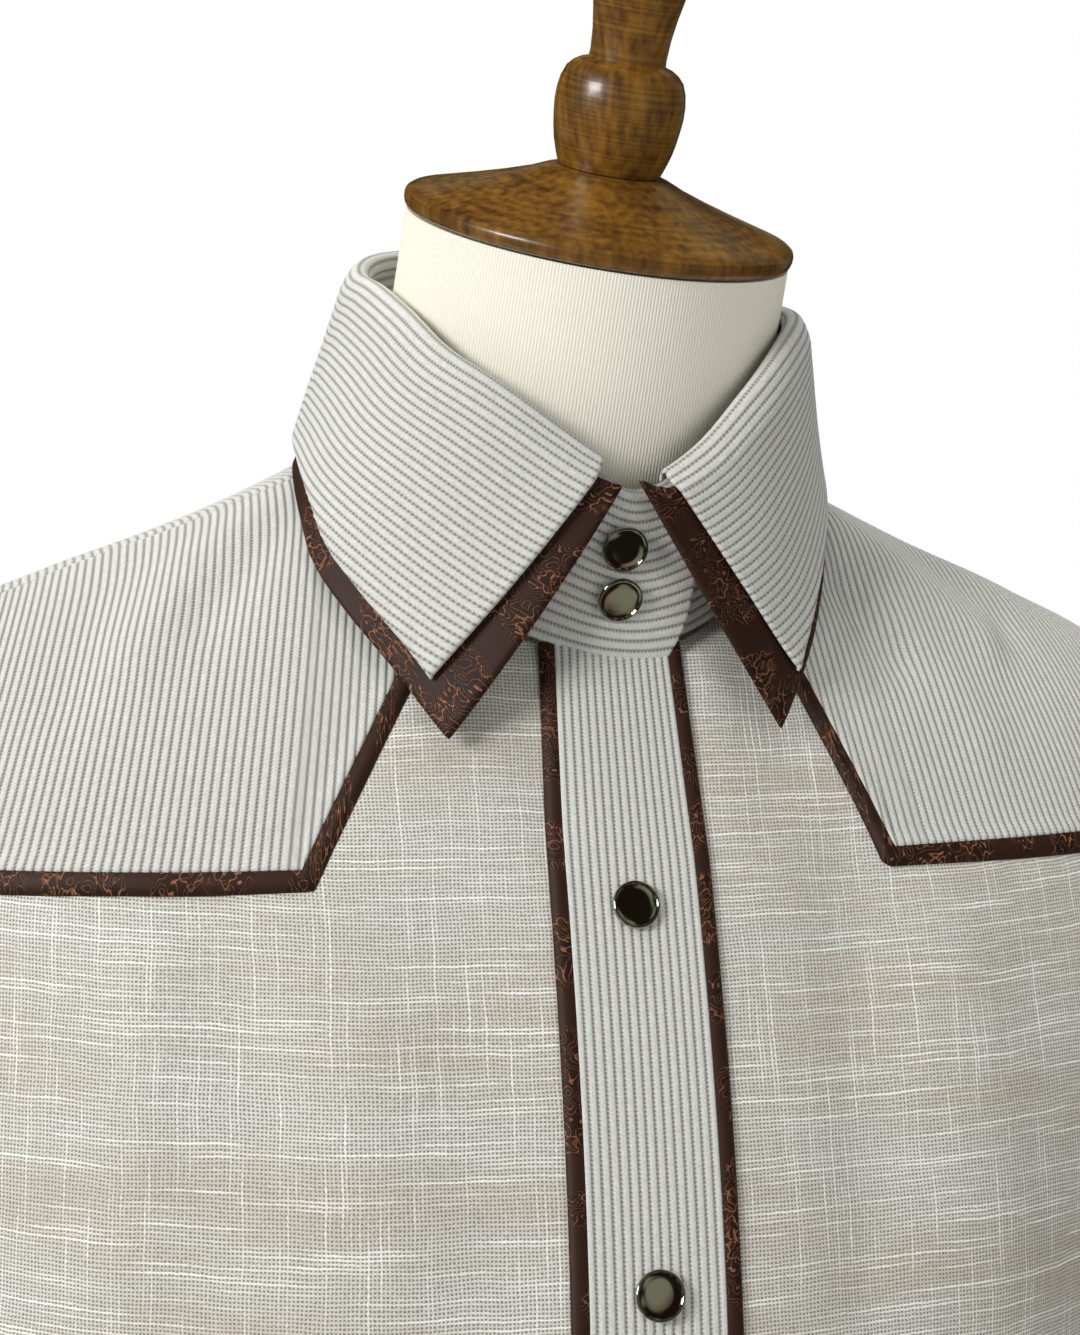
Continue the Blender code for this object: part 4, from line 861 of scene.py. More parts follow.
def make_brocade():
    """Jacquard satin: a dark brown twill with copper scrolls and small flowers woven in; under the
    figure's patches the ground is painted near black, as painted shadow.
    """
    twill_mm = 0.30
    flower_mm = 8.5
    petals = 5.0
    material, tree, shader = start_material("brocade")
    place = add(tree, "UVMap", uv_map="cloth")
    drift = add(tree, "TexNoise", {"Vector": place, "Scale": 0.20, "Detail": 1.0})
    curled = add(
        tree,
        "VectorMath",
        {0: drift.outputs[1], 1: (3.4, 3.4, 0.0), 2: place},
        operation="MULTIPLY_ADD",
    )
    cells = add(tree, "TexVoronoi", {"Vector": place, "Scale": 1 / flower_mm}, voronoi_dimensions="2D")
    spoke = add(tree, "VectorMath", {0: place, 1: cells.outputs["Position"]}, operation="SUBTRACT")
    arms = add(tree, "SeparateXYZ", {0: spoke})
    bearing = add(tree, "Math", {0: arms.outputs[1], 1: arms.outputs[0]}, operation="ARCTAN2")
    lobes = add(tree, "Math", {0: bearing, 1: petals}, operation="MULTIPLY")
    lobe = add(tree, "Math", {0: lobes}, operation="SINE")
    distance = add(tree, "VectorMath", {0: spoke}, operation="LENGTH")
    scalloped = add(tree, "Math", {0: lobe, 1: -0.45, 2: distance.outputs[1]}, operation="MULTIPLY_ADD")
    rings = add(tree, "Math", {0: scalloped, 1: 1.15}, operation="PINGPONG")
    petal_line = add(tree, "MapRange", {0: rings, 1: 0.19, 2: 0.10}, interpolation_type="SMOOTHSTEP")
    inside = add(tree, "MapRange", {0: scalloped, 1: 3.2, 2: 3.0})
    flower = add(tree, "Math", {0: petal_line, 1: inside}, operation="MULTIPLY")
    vines = add(tree, "TexNoise", {"Vector": curled, "Scale": 0.33, "Detail": 0.0})
    contours = add(tree, "Math", {0: vines, 1: 7.0}, operation="MULTIPLY")
    contour = add(tree, "Math", {0: contours, 1: 0.5}, operation="PINGPONG")
    vine = add(tree, "MapRange", {0: contour, 1: 0.085, 2: 0.035}, interpolation_type="SMOOTHSTEP")
    both = add(tree, "Math", {0: flower, 1: vine}, operation="MAXIMUM")
    patches = add(tree, "TexNoise", {"Vector": place, "Scale": 0.09, "Detail": 0.0})
    patch = add(tree, "MapRange", {0: patches, 1: 0.40, 2: 0.50}, interpolation_type="SMOOTHSTEP")
    woven = add(tree, "Math", {0: both, 1: patch}, operation="MULTIPLY")
    stitches = add(tree, "TexNoise", {"Vector": place, "Scale": 3.2, "Detail": 0.0})
    stitch = add(tree, "MapRange", {0: stitches, 1: 0.36, 2: 0.52, 3: 0.25, 4: 1.0})
    figure = add(tree, "Math", {0: woven, 1: stitch}, operation="MULTIPLY")
    split = add(tree, "SeparateXYZ", {0: place})
    diagonal = add(tree, "Math", {0: split.outputs[0], 1: split.outputs[1]}, operation="ADD")
    lines = add(tree, "Math", {0: diagonal, 1: twill_mm}, operation="PINGPONG")
    twill = add(tree, "MapRange", {0: lines, 1: 0.0, 2: twill_mm})
    thread = add(tree, "TexNoise", {"Vector": place, "Scale": 2.2, "Detail": 2.0})
    ground = add(tree, "Mix", {0: twill, 6: linear("#150904"), 7: linear("#46281a")}, data_type="RGBA")
    # Painted shadow: where the figure's patches lie, the ground is painted near black.
    patch_shadow = add(tree, "Math", {0: patch, 1: 0.45}, operation="MULTIPLY")
    shaded = add(
        tree,
        "Mix",
        {0: patch_shadow, 6: ground.outputs[2], 7: linear("#150a06")},
        data_type="RGBA",
    )
    lit = add(tree, "Mix", {0: thread, 6: linear("#7c4427"), 7: linear("#bd8055")}, data_type="RGBA")
    colour = add(tree, "Mix", {0: figure, 6: shaded.outputs[2], 7: lit.outputs[2]}, data_type="RGBA")
    low = add(tree, "Math", {0: twill, 1: 0.35}, operation="MULTIPLY")
    height = add(tree, "Math", {0: figure, 1: 0.9, 2: low}, operation="MULTIPLY_ADD")
    bump = add(tree, "Bump", {"Height": height, "Strength": 0.8, "Distance": 0.00018})
    finish = {"Roughness": 0.55, "Specular IOR Level": 0.3}
    set_inputs(tree, shader, {"Base Color": colour.outputs[2], "Normal": bump, **finish})
    return material


def make_jersey():
    """Cotton jersey over the form: fine vertical ribs of knit, ivory and matt, with painted shade in the
    valleys between the ribs.
    """
    material, tree, shader = start_material("jersey")
    place = add(tree, "UVMap", uv_map="cloth")
    split = add(tree, "SeparateXYZ", {0: place})
    fibre = add(tree, "TexNoise", {"Vector": place, "Scale": 0.9, "Detail": 3.0})
    wander = add(tree, "Math", {0: fibre, 1: 0.25, 2: split.outputs[0]}, operation="MULTIPLY_ADD")
    rib = add(tree, "Math", {0: wander, 1: 0.45}, operation="PINGPONG")
    crest = add(tree, "MapRange", {0: rib, 1: 0.0, 2: 0.45}, interpolation_type="SMOOTHSTEP")
    # Painted shade: the valleys between the ribs are painted darker than the crests.
    colour = add(tree, "Mix", {0: crest, 6: linear("#e6e1cd"), 7: linear("#fbf8ea")}, data_type="RGBA")
    height = add(tree, "Math", {0: fibre, 1: 0.5, 2: crest}, operation="MULTIPLY_ADD")
    bump = add(tree, "Bump", {"Height": height, "Strength": 0.6, "Distance": 0.00015})
    finish = {"Roughness": 0.9, "Specular IOR Level": 0.2}
    set_inputs(tree, shader, {"Base Color": colour.outputs[2], "Normal": bump, **finish})
    return material


def make_wood():
    """Turned beech, stained amber: fine lathe lines round it, fine grain along it, satin wax."""
    line_m = 0.0011
    material, tree, shader = start_material("turned_wood")
    place = add(tree, "TexCoord")
    point = place.outputs["Object"]
    lines = tuple(part / line_m for part in WOOD_AXIS)
    height = add(tree, "VectorMath", {0: point, 1: lines}, operation="DOT_PRODUCT")
    turning = add(
        tree,
        "TexNoise",
        {"W": height.outputs[1], "Scale": 1.0, "Detail": 2.0},
        noise_dimensions="1D",
    )
    along = add(tree, "Mapping", {"Vector": point, "Scale": (420, 420, 42)})
    grain = add(tree, "TexNoise", {"Vector": along, "Scale": 1.0, "Detail": 4.0})
    cloud = add(tree, "TexNoise", {"Vector": point, "Scale": 55.0, "Detail": 3.0})
    tone = add(tree, "Math", {0: cloud, 1: 0.35, 2: 0.20}, operation="MULTIPLY_ADD")
    fine = add(tree, "Math", {0: grain, 1: 0.45, 2: tone}, operation="MULTIPLY_ADD")
    lathed = add(tree, "Math", {0: turning, 1: 0.22, 2: fine}, operation="MULTIPLY_ADD")
    stain = add(tree, "MapRange", {0: lathed, 1: 0.52, 2: 0.98}, interpolation_type="SMOOTHSTEP")
    colour = add(tree, "Mix", {0: stain, 6: linear("#42260a"), 7: linear("#9d6d20")}, data_type="RGBA")
    relief = add(tree, "Math", {0: turning, 1: 0.8, 2: grain}, operation="MULTIPLY_ADD")
    bump = add(tree, "Bump", {"Height": relief, "Strength": 0.35, "Distance": 0.0002})
    finish = {"Roughness": 0.36, "Coat Weight": 0.40, "Coat Roughness": 0.18}
    set_inputs(tree, shader, {"Base Color": colour.outputs[2], "Normal": bump, **finish})
    return material


def make_nickel():
    """Nickel plate on pressed brass, polished bright."""
    material, tree, shader = start_material("polished_nickel")
    place = add(tree, "TexCoord")
    haze = add(tree, "TexNoise", {"Vector": place.outputs["Object"], "Scale": 900.0, "Detail": 2.0})
    roughness = add(tree, "MapRange", {0: haze, 3: 0.03, 4: 0.09})
    finish = {"Base Color": linear("#c3bfb6"), "Metallic": 1.0, "Roughness": roughness}
    set_inputs(tree, shader, finish)
    return material


def make_enamel():
    """Black satin enamel on the steel stand."""
    material, tree, shader = start_material("satin_enamel")
    place = add(tree, "TexCoord")
    peel = add(tree, "TexNoise", {"Vector": place.outputs["Object"], "Scale": 260.0, "Detail": 2.0})
    bump = add(tree, "Bump", {"Height": peel, "Strength": 0.15, "Distance": 0.0004})
    set_inputs(tree, shader, {"Base Color": linear("#1c1b1a"), "Roughness": 0.4, "Normal": bump})
    return material


CORDUROY = Cloth("corduroy", CORDUROY_WALL, INWARDS, make_corduroy())
LINEN = Cloth("linen", LINEN_WALL, OUTWARDS, make_linen())
BROCADE = Cloth("brocade", BROCADE_WALL, OUTWARDS, make_brocade())
JERSEY = make_jersey()
WOOD = make_wood()
NICKEL = make_nickel()
ENAMEL = make_enamel()

# ---------------------------------------------------------------- fronts, back and yokes


def add_panel(name, columns, laid, creases, lean_from):
    """A linen panel: it dips under the piping along its top, and its hem is turned up."""
    dip = LINEN_DIP * hump(laid.from_start, LINEN_DIP_WIDTH)
    lift = LINEN_LIFT - dip + TURNED_HEM * (laid.from_end < HEM_DEPTH)
    points = lay_on(laid, lift, creases)
    pattern = straight_grain(columns, laid.levels, points, lean_from)
    add_cloth(LINEN, name, points, pattern)


def add_yoke(name, laid, wale_steps, creases, strength=1.0):
    """A corduroy yoke, with turned edges, the lower one raised by the seam under it."""
    wales = np.arange(len(laid.angles))[:, None] / wale_steps
    lift = YOKE_TOP + wale_height(wales) + SEAM_PUFF * hump(laid.from_end, SEAM_PUFF_WIDTH)
    lift = lift - lip(np.minimum(laid.from_start, laid.from_end))
    points = lay_on(laid, lift, creases, strength)
    pattern = in_millimetres(wales * WALE, laid.along)
    add_cloth(CORDUROY, name, points, pattern)


def make_front(name, side, inner_x):
    """One linen front, from its edge under the placket to the side seam."""
    start_at = np.sign(inner_x) * column_of(abs(inner_x))
    columns = arc_columns(start_at, SIDE_COLUMN, LINEN_STEP, UNDERARM, front_angle, side)
    signed = side * columns
    slanting, flat = yoke_lines(side, signed, LINEN_TUCK)
    start = np.where(columns > 0, yoke_edge(side, signed, LINEN_TUCK), NECK_EDGE)
    start = below_armhole(signed, start, np.interp(ARM_COLUMN, columns, start))
    slant = np.where((slanting < flat) & (start > NECK_EDGE), yoke_slant(side), 1.0)
    laid = down_columns(signed, start, hem(columns), 120, front_angle, start_slant=slant)
    add_panel(name, signed, laid, FRONT_CREASES, yoke_bottom(signed)[:, None])


def make_front_yoke(name, side):
    """A pointed front yoke, with its wales down the body."""
    inner = min(seam_column(NECK_EDGE, side), column_of(YOKE_POINTS[side].neck_x))
    outer = seam_column(SEAM_END, side)
    columns = arc_columns(inner, outer, WALE / WALE_STEPS, yoke_bottom, front_angle, side)
    signed = side * columns
    slanting, flat = yoke_lines(side, signed, 0.0)
    end = above_armhole(columns, yoke_edge(side, signed), TIP_LEVEL)
    start = shoulder_level(signed, front_angle)
    slant = np.where(slanting < flat, yoke_slant(side), 1.0)
    keep = end > start + 0.001
    signed, start, end, slant = (each[keep] for each in (signed, start, end, slant))
    laid = down_columns(signed, start, end, 34, front_angle, end_slant=slant)
    calm = 1 - hump(laid.from_start, SEAM_CALM)
    add_yoke(name, laid, WALE_STEPS, FRONT_CREASES, calm)


def make_back():
    """The linen back, in one piece."""
    half = arc_columns(0.0, SIDE_COLUMN, LINEN_STEP, UNDERARM, back_angle)
    edge = back_yoke_edge(half, LINEN_TUCK)
    start = both_ways(below_armhole(half, edge, np.interp(ARM_COLUMN, half, edge)))
    columns = np.concatenate([-half[:0:-1], half])
    laid = down_columns(columns, start, hem(columns), 100, back_angle)
    add_panel("back", columns, laid, BACK_CREASES, BACK_LEAN_FROM)


def over_shoulder(column, last):
    """One column's path from the front shoulder seam over the ridge and down to its end."""
    levels = np.linspace(NECK_EDGE, last, FINE_STEPS)
    reach = np.abs(column_x(column, levels, BACK_LEAN_FROM)) / side_x(levels)
    path_angles = back_angle(np.full((1, len(levels)), column), levels[None, :])[0][reach < 1]
    path_levels = levels[reach < 1]
    if reach[0] > math.sin(math.radians(SEAM_ANGLE - SEAM_GAP_ANGLE)):
        seam_to_ridge = np.linspace(SEAM_ANGLE + SEAM_GAP_ANGLE, 90, 12)
        crossing = np.interp(-np.sin(np.radians(seam_to_ridge)), -reach, levels)
        path_angles = np.concatenate([np.sign(column) * seam_to_ridge, path_angles])
        path_levels = np.concatenate([crossing, path_levels])
    shares = np.linspace(0, 1, len(path_levels))
    wanted = np.linspace(0, 1, FINE_STEPS)
    return np.interp(wanted, shares, path_angles), np.interp(wanted, shares, path_levels)


def back_yoke_columns(side, step):
    """The back yoke's columns on one side and their ends."""
    outer = max(seam_column(level) for level in (0.118, 0.120, SEAM_END))
    columns = arc_columns(0.0, outer, step, BACK_YOKE_LEVEL, back_angle, side)
    return columns, above_armhole(columns, back_yoke_edge(columns), BACK_TIP_LEVEL)


def make_back_yoke():
    """The back yoke, which comes over the shoulders to meet the front yokes."""
    laid_halves = []
    for side in (-1, 1):
        columns, end = back_yoke_columns(side, WALE / BACK_WALE_STEPS)
        paths = [over_shoulder(side * column, last) for column, last in zip(columns, end)]
        angles, levels = np.array(paths).transpose(1, 0, 2)
        laid_halves.append(lay_paths(angles, levels, 34))
    laid = Laid(*[np.concatenate([right[:0:-1], left]) for right, left in zip(*laid_halves)])
    add_yoke("back_yoke", laid, BACK_WALE_STEPS, BACK_CREASES)


# ---------------------------------------------------------------- pipings


def add_piping(name, place_of, base, creases, shift, along=None):
    """A folded strip of brocade. place_of gives its angles and levels at a distance from the edge."""
    lines = []
    for point in PIPING_PROFILE:
        angles, levels = place_of(point.out)
        lift = base + point.up + crease_lift(seen_flat(body(angles, levels)), creases)
        lines.append(on_body(angles, levels, lift))
    points = np.stack(lines, axis=1)
    along = tracks_of(points[:, PIPING_CREST]) if along is None else along
    across = np.array([point.out for point in PIPING_PROFILE]) + shift
    add_cloth(BROCADE, name, points, in_millimetres(along[:, None], across))


def add_yoke_piping(name, path, edge_of, angle_of, creases):
    """The piping under a yoke's lower edge, along a path of columns."""

    def place_of(out):
        levels = edge_of(path, out)
        return angle_of(path[:, None], levels[:, None])[:, 0], levels

    add_piping(name, place_of, YOKE_PIPING_LIFT, creases, 0.013 * len(name))


def make_front_piping(name, side):
    point = YOKE_POINTS[side]
    inner = column_of(point.neck_x - 0.0012)
    keys = arc_columns(inner, ARM_COLUMN, 0.0018, yoke_bottom, front_angle, side)
    round_corner = column_of(point.point_x) + np.array([-0.3, -0.1, 0.1, 0.3])
    path = side * np.sort(np.concatenate([keys, round_corner]))
    edge_of = functools.partial(yoke_edge, side)
    add_yoke_piping(name, path, edge_of, front_angle, FRONT_CREASES)


def make_back_piping():
    half = arc_columns(0.0, ARM_COLUMN, 0.0025, BACK_PIPING_LEVEL, back_angle)
    path = np.concatenate([-half[:0:-1], half])
    add_yoke_piping("back_piping", path, back_yoke_edge, back_angle, BACK_CREASES)


def make_placket_piping(name, side):
    """The folded strip of brocade along one side of the placket."""
    levels = np.linspace(STRIP_TOP + 0.002, HEM_CENTRE, 130)

    def place_of(out):
        column = np.full((1, len(levels)), side * column_of(PLACKET_HALF + out))
        return front_angle(column, levels[None, :])[0], levels

    add_piping(name, place_of, STRIP_LIFT - 0.0002, FRONT_CREASES, 0.03 * side, levels)


# ---------------------------------------------------------------- placket


def make_placket():
    """The corduroy strip down the front, with its wales along it."""
    wales_across = round(2 * PLACKET_HALF / WALE)
    count = wales_across * WALE_STEPS
    edges = np.linspace(-PLACKET_HALF, PLACKET_HALF, count + 1)
    columns = np.sign(edges) * column_of(np.abs(edges))
    start = np.full(len(columns), STRIP_TOP)
    end = np.full(len(columns), HEM_CENTRE)
    laid = down_columns(columns, start, end, 130, front_angle)
    wales = np.linspace(0, wales_across, count + 1)[:, None]
    from_side = (PLACKET_HALF - np.abs(edges))[:, None]
    base = STRIP_LIFT + CORDUROY_WALL - lip(from_side) - lip(laid.from_end)
    points = lay_on(laid, base + wale_height(wales), FRONT_CREASES)
    pattern = in_millimetres(wales * WALE, laid.along)
    add_cloth(CORDUROY, "placket", points, pattern)


# ---------------------------------------------------------------- collar


def away_from_neck(points):
    """The direction out from the collar's axis."""
    spokes = points - NECK_CENTRE
    return unit(spokes - (spokes @ COLLAR_AXIS)[..., None] * COLLAR_AXIS)


def wrap(unrolled):
    return (unrolled + 180) % 360 - 180


def fold_point(angle):
    fold = by_column(FOLD)
    return smooth(angle, fold.angle, np.stack(fold[1:], -1))


def on_band(unrolled, share, out, drop=0.0):
    """A point of the collar band: share 0 at the neck seam, 1 at its top."""
    unrolled, share = np.broadcast_arrays(unrolled, share)
    angle = wrap(unrolled)
    points = body(angle, drop) * (1 - share[..., None]) + fold_point(angle) * share[..., None]
    return points + away_from_neck(points) * np.asarray(out)[..., None]


def band_out(unrolled):
    lifts = by_column(BAND_LIFTS)
    return smooth(unrolled, lifts.unrolled, lifts.out)


def band_drop(unrolled):
    """How far below the neck seam the band's upper end reaches, over the placket's top."""
    share = np.clip((unrolled - BAND_DROP_FROM) / (BAND_ENDS[1] - BAND_DROP_FROM), 0, 1)
    return BAND_DROP * share**1.5


def make_collar_stand():
    """The band that closes at the neck, with its wales along it and a rounded upper end."""
    rows = BAND_WALES * WALE_STEPS
    shares = np.linspace(BAND_LOW, 1.0, rows + 1)
    span = np.concatenate([np.linspace(0, 0.985, 200), np.linspace(0.985, 1, 12)[1:]])[:, None]
    rounding = BAND_ROUNDING * np.abs(2 * shares - 1) ** 3
    unrolled = BAND_ENDS[0] + (BAND_ENDS[1] - BAND_ENDS[0] - rounding) * span
    wales = np.linspace(0, BAND_WALES, rows + 1)[None, :]
    from_end = (BAND_ENDS[1] - rounding - unrolled) * UPPER_END_PER_DEGREE
    from_low = (shares - BAND_LOW)[None, :] * BAND_HEIGHT
    base = band_out(unrolled) + CORDUROY_WALL - lip(from_end) - lip(from_low)
    drop = band_drop(unrolled)
    lift = base + wale_height(wales) + BAND_DROP_LIFT * drop / BAND_DROP
    points = on_band(unrolled, shares, lift, drop)
    pattern = in_millimetres(wales * WALE, (unrolled - BAND_ENDS[0]) * BAND_PER_DEGREE)
    add_cloth(CORDUROY, "collar_stand", points, pattern)


def leaf_edge(side, around):
    """The leaf's outer edge, from 0 at the centre back to 1 at the point."""
    edge = by_column(LEAF_EDGE)
    angle = 180 - (180 - LEAF_TIP) * around
    level = smooth(angle, edge.angle, edge.right_level if side < 0 else edge.left_level)
    return on_body(side * angle, level, smooth(angle, edge.angle, edge.lift))


def on_fold(side, around, out, up):
    """A point by the band's top, from 0 at the centre back to 1 at the leaf's front."""
    angle = 180 - (180 - LEAF_FRONTS[side]) * around
    forward = np.clip((around - FRONT_RISE_FROM) / (1 - FRONT_RISE_FROM), 0, 1)
    up = up + FRONT_RISES[side] * forward**2
    return on_band(side * angle, np.ones(angle.shape), out) + COLLAR_AXIS * up[..., None]


def on_leaf(side, around, down):
    """The under face of the leaf: down runs from 0 at the fold to 1 at the outer edge."""
    around, down = np.broadcast_arrays(around, down)
    lifts = by_column(LEAF_LIFTS)
    angle = 180 - (180 - LEAF_FRONTS[side]) * around
    fold = on_fold(side, around, smooth(angle, lifts.angle, lifts.out), 0.0)
    edge = leaf_edge(side, around)
    push = away_from_neck(fold) * ROLL_PUSH[0] + COLLAR_AXIS * ROLL_PUSH[1]
    middle = (fold + edge) / 2 + push * LEAF_ROLL
    pull = np.clip((around - TIP_PULL_FROM) / (1 - TIP_PULL_FROM), 0, 1) ** 2
    middle[..., 0] -= side * TIP_PULLS[side] * pull
    down = down[..., None]
    return fold * (1 - down) ** 2 + 2 * middle * down * (1 - down) + edge * down**2


def leaf_normal(side, around, down):
    step = 0.004
    low, high = np.maximum(around - step, 0), np.minimum(around + step, 1)
    above, below = np.maximum(down - step, 0), np.minimum(down + step, 1)
    across = on_leaf(side, high, down) - on_leaf(side, low, down)
    along = on_leaf(side, around, below) - on_leaf(side, around, above)
    return unit(np.cross(across, along)) * side


def cut_corners(lines, rounds):
    """Smooths polylines[line, point] by cutting their corners, with their ends kept."""
    for _ in range(rounds):
        near = lines[:, :-1] * 0.75 + lines[:, 1:] * 0.25
        far = lines[:, :-1] * 0.25 + lines[:, 1:] * 0.75
        middle = np.stack([near, far], axis=2).reshape(len(lines), -1, 3)
        lines = np.concatenate([lines[:, :1], middle, lines[:, -1:]], axis=1)
    return lines


def normals_of(points):
    """The normal of a bent grid at each of its points."""
    across = np.gradient(points, axis=0)
    along = np.gradient(points, axis=1)
    return unit(np.cross(across, along))


LEAF_CREASES = (
    Crease(-0.080, 1.470, -0.050, 1.400, 0.014, 0.0008),
    Crease(-0.095, 1.430, -0.060, 1.385, 0.010, -0.0008),
    Crease(0.070, 1.470, 0.052, 1.400, 0.013, -0.0008),
    Crease(0.090, 1.440, 0.060, 1.385, 0.012, 0.0008),
)


def leaf_paths(side):
    """Paths from under the fold, over it and down to the outer edge, from the centre back."""
    count = round(LEAF_FOLD_RUN / LEAF_STEP)
    by_front = (1 - EDGE_STEPS / LEAF_FOLD_RUN)[::-1]
    spread = np.concatenate([np.linspace(0, by_front[0], count)[:-1], by_front])
    down = np.linspace(0.05, 1, 40)[None, :]
    fold_front = 1 - BORDER_TOPS[side] / LEAF_FOLD_RUN
    edge_front = 1 - BORDER_FRONTS[side] / LEAF_EDGE_RUN
    around = spread[:, None] * (fold_front + (edge_front - fold_front) * down)
    under = on_leaf(side, around, down) + leaf_normal(side, around, down) * COLLAR_LIFT
    top = spread * fold_front
    sink = LEAF_SINKS[side] * np.clip((spread - 0.88) / 0.12, 0, 1) ** 2
    turn = [on_fold(side, top, np.full(top.shape, out), up - sink) for out, up in LEAF_TURN]
    paths = cut_corners(np.concatenate([np.stack(turn, axis=1), under], axis=1), 2)
    tracks = tracks_of(paths)
    tipward = np.clip((spread - BORDER_TIP_FROM) / (1 - BORDER_TIP_FROM), 0, 1) ** 2
    lengths = tracks[:, -1] - (BORDER_SIDE + (BORDER_TIPS[side] - BORDER_SIDE) * tipward)
    return paths, tracks, lengths, spread


def leaf_half(side, paths, tracks, lengths, spread, rows):
    """One half of the leaf: its points, their wales, and how far they are from edge and back."""
    distance = np.minimum(np.arange(rows + 1) / WALE_STEPS * WALE, lengths[:, None])
    sampled = [
        [np.interp(wanted, track, path[:, axis]) for axis in range(3)]
        for wanted, track, path in zip(distance, tracks, paths)
    ]
    from_front = ((1 - spread) * LEAF_FOLD_RUN)[:, None]
    from_edge = np.minimum(lengths[:, None] - distance, from_front)
    from_back = (side * spread * LEAF_FOLD_RUN)[:, None]
    return np.array(sampled).transpose(0, 2, 1), distance / WALE, from_edge, from_back


def make_collar_leaf():
    """The upper collar, with its wales along the fold, turned over the top of the band."""
    measured = {side: leaf_paths(side) for side in (-1, 1)}
    longest = max(lengths.max() for _, _, lengths, _ in measured.values())
    rows = math.ceil(longest / WALE) * WALE_STEPS
    halves = [leaf_half(side, *each, rows) for side, each in measured.items()]
    joined = [np.concatenate([right[::-1], left[1:]]) for right, left in zip(*halves)]
    points, wales, from_edge, from_back = joined
    normals = normals_of(points)
    outward = points - NECK_CENTRE
    if np.sum(normals[:, rows // 2] * outward[:, rows // 2]) < 0:
        normals = -normals
    steady = np.clip(from_edge / 0.001, 0, 1)
    lift = CORDUROY_WALL + LEAF_RELIEF * wale_height(wales) * steady - lip(from_edge, LEAF_LIP)
    lift = lift + crease_lift(seen_flat(points), LEAF_CREASES)
    points = points + normals * lift[..., None]
    pattern = in_millimetres(wales * WALE, from_back)
    add_cloth(CORDUROY, "collar_leaf", points, pattern)


def make_under_collar():
    """The brocade under collar, cut larger than the leaf, so that it shows as a border."""
    spread = np.concatenate([np.linspace(0, 0.985, 60), 1 - EDGE_STEPS[::-1] / LEAF_FOLD_RUN])
    base = np.concatenate([np.linspace(0, 0.97, 30), 1 - EDGE_STEPS[::-1] / UNDER_DEPTH])[None, :]
    forward = np.clip((spread - 0.95) / 0.05, 0, 1)[:, None] ** 2
    halves = []
    for side in (-1, 1):
        begin = 0.03 + (UNDER_STARTS[side] - 0.03) * forward
        down = begin + (1 - begin) * base
        around = np.broadcast_to(spread[:, None], down.shape)
        from_edge = np.minimum((1 - around) * LEAF_FOLD_RUN, (1 - down) * UNDER_DEPTH)
        lift = 0.0002 - lip(from_edge, UNDER_LIP)
        points = on_leaf(side, around, down) + leaf_normal(side, around, down) * lift[..., None]
        halves.append((points, in_millimetres(side * around * LEAF_FOLD_RUN + 0.2, down * 0.072)))
    points, pattern = (np.concatenate([right[::-1], left[1:]]) for right, left in zip(*halves))
    add_cloth(BROCADE, "under_collar", points, pattern)


# ---------------------------------------------------------------- sleeves and cuffs


def shares_along(line):
    along = tracks_of(line)
    return along / along[-1]


def armhole_loop(side):
    """The armhole round all four panels, from the shoulder's tip round by the front."""
    beyond = np.linspace(0, 1, 40)
    panel = ARM_COLUMN + (SIDE_COLUMN - ARM_COLUMN) * beyond
    yoke = ARM_COLUMN + (seam_column(SEAM_END, side) - ARM_COLUMN) * beyond
    back_yoke = ARM_COLUMN + (back_yoke_columns(side, 0.003)[0][-1] - ARM_COLUMN) * beyond
    front_depth = yoke_edge(side, np.array([side * ARM_COLUMN]))[0]
    back_depth = back_yoke_edge(ARM_COLUMN)
    yoke_levels = front_depth + (TIP_LEVEL - front_depth) * np.sqrt(beyond)
    back_yoke_levels = back_depth + (BACK_TIP_LEVEL - back_depth) * np.sqrt(beyond)
    runs = (
        (yoke, yoke_levels, front_angle, -1),
        (panel, below_armhole(panel, front_depth, front_depth), front_angle, 1),
        (panel, below_armhole(panel, back_depth, back_depth), back_angle, -1),
        (back_yoke, back_yoke_levels, back_angle, 1),
    )
    loop = []
    for columns, levels, angle_of, order in runs:
        columns, levels = columns[::order], levels[::order]
        angles = angle_of(side * columns[:, None], levels[:, None])[:, 0]
        loop.extend(on_body(angles, levels, -0.0006))
    return np.array([*loop, loop[0]])


def sleeve_ring(ring, side, shares):
    """A ring of the hanging sleeve, from its outer point round by the front."""
    turn = np.linspace(0, 2 * math.pi, FINE_STEPS * 2)
    swing = (1 + np.cos(turn)) / 2
    x = ring.inner_x + (ring.outer_x - ring.inner_x) * swing
    z = ring.inner_z + (ring.outer_z - ring.inner_z) * swing + SET_TILT * side * x
    middle = (ring.front_y + ring.back_y) / 2
    y = middle + (ring.front_y - ring.back_y) / 2 * np.sin(turn)
    line = np.stack([side * x, y, z], -1)
    along = shares_along(line)
    return np.stack([np.interp(shares, along, line[:, axis]) for axis in range(3)], -1)


SLEEVE_CREASES = (
    Crease(0.0420, 1.330, 0.0672, 1.060, 0.030, 0.0030),
    Crease(0.0924, 1.300, 0.0840, 1.010, 0.030, -0.0030),
    Crease(0.3780, 1.320, 0.3528, 1.050, 0.032, 0.0030),
    Crease(0.3276, 1.290, 0.3360, 1.000, 0.030, -0.0030),
    Crease(0.0084, 1.200, 0.0252, 0.960, 0.028, -0.0024),
    Crease(0.0588, 1.080, 0.0084, 1.030, 0.024, -0.0030),
    Crease(0.4074, 1.090, 0.3612, 1.040, 0.024, 0.0030),
    Crease(0.1260, 1.040, 0.0672, 1.000, 0.022, 0.0028),
    Crease(0.0336, 0.980, 0.0420, 0.870, 0.020, 0.0030),
    Crease(0.3906, 0.980, 0.3864, 0.870, 0.020, 0.0028),
    Crease(0.0840, 0.960, 0.0924, 0.870, 0.018, -0.0026),
    Crease(0.3444, 0.970, 0.3360, 0.870, 0.018, -0.0024),
)


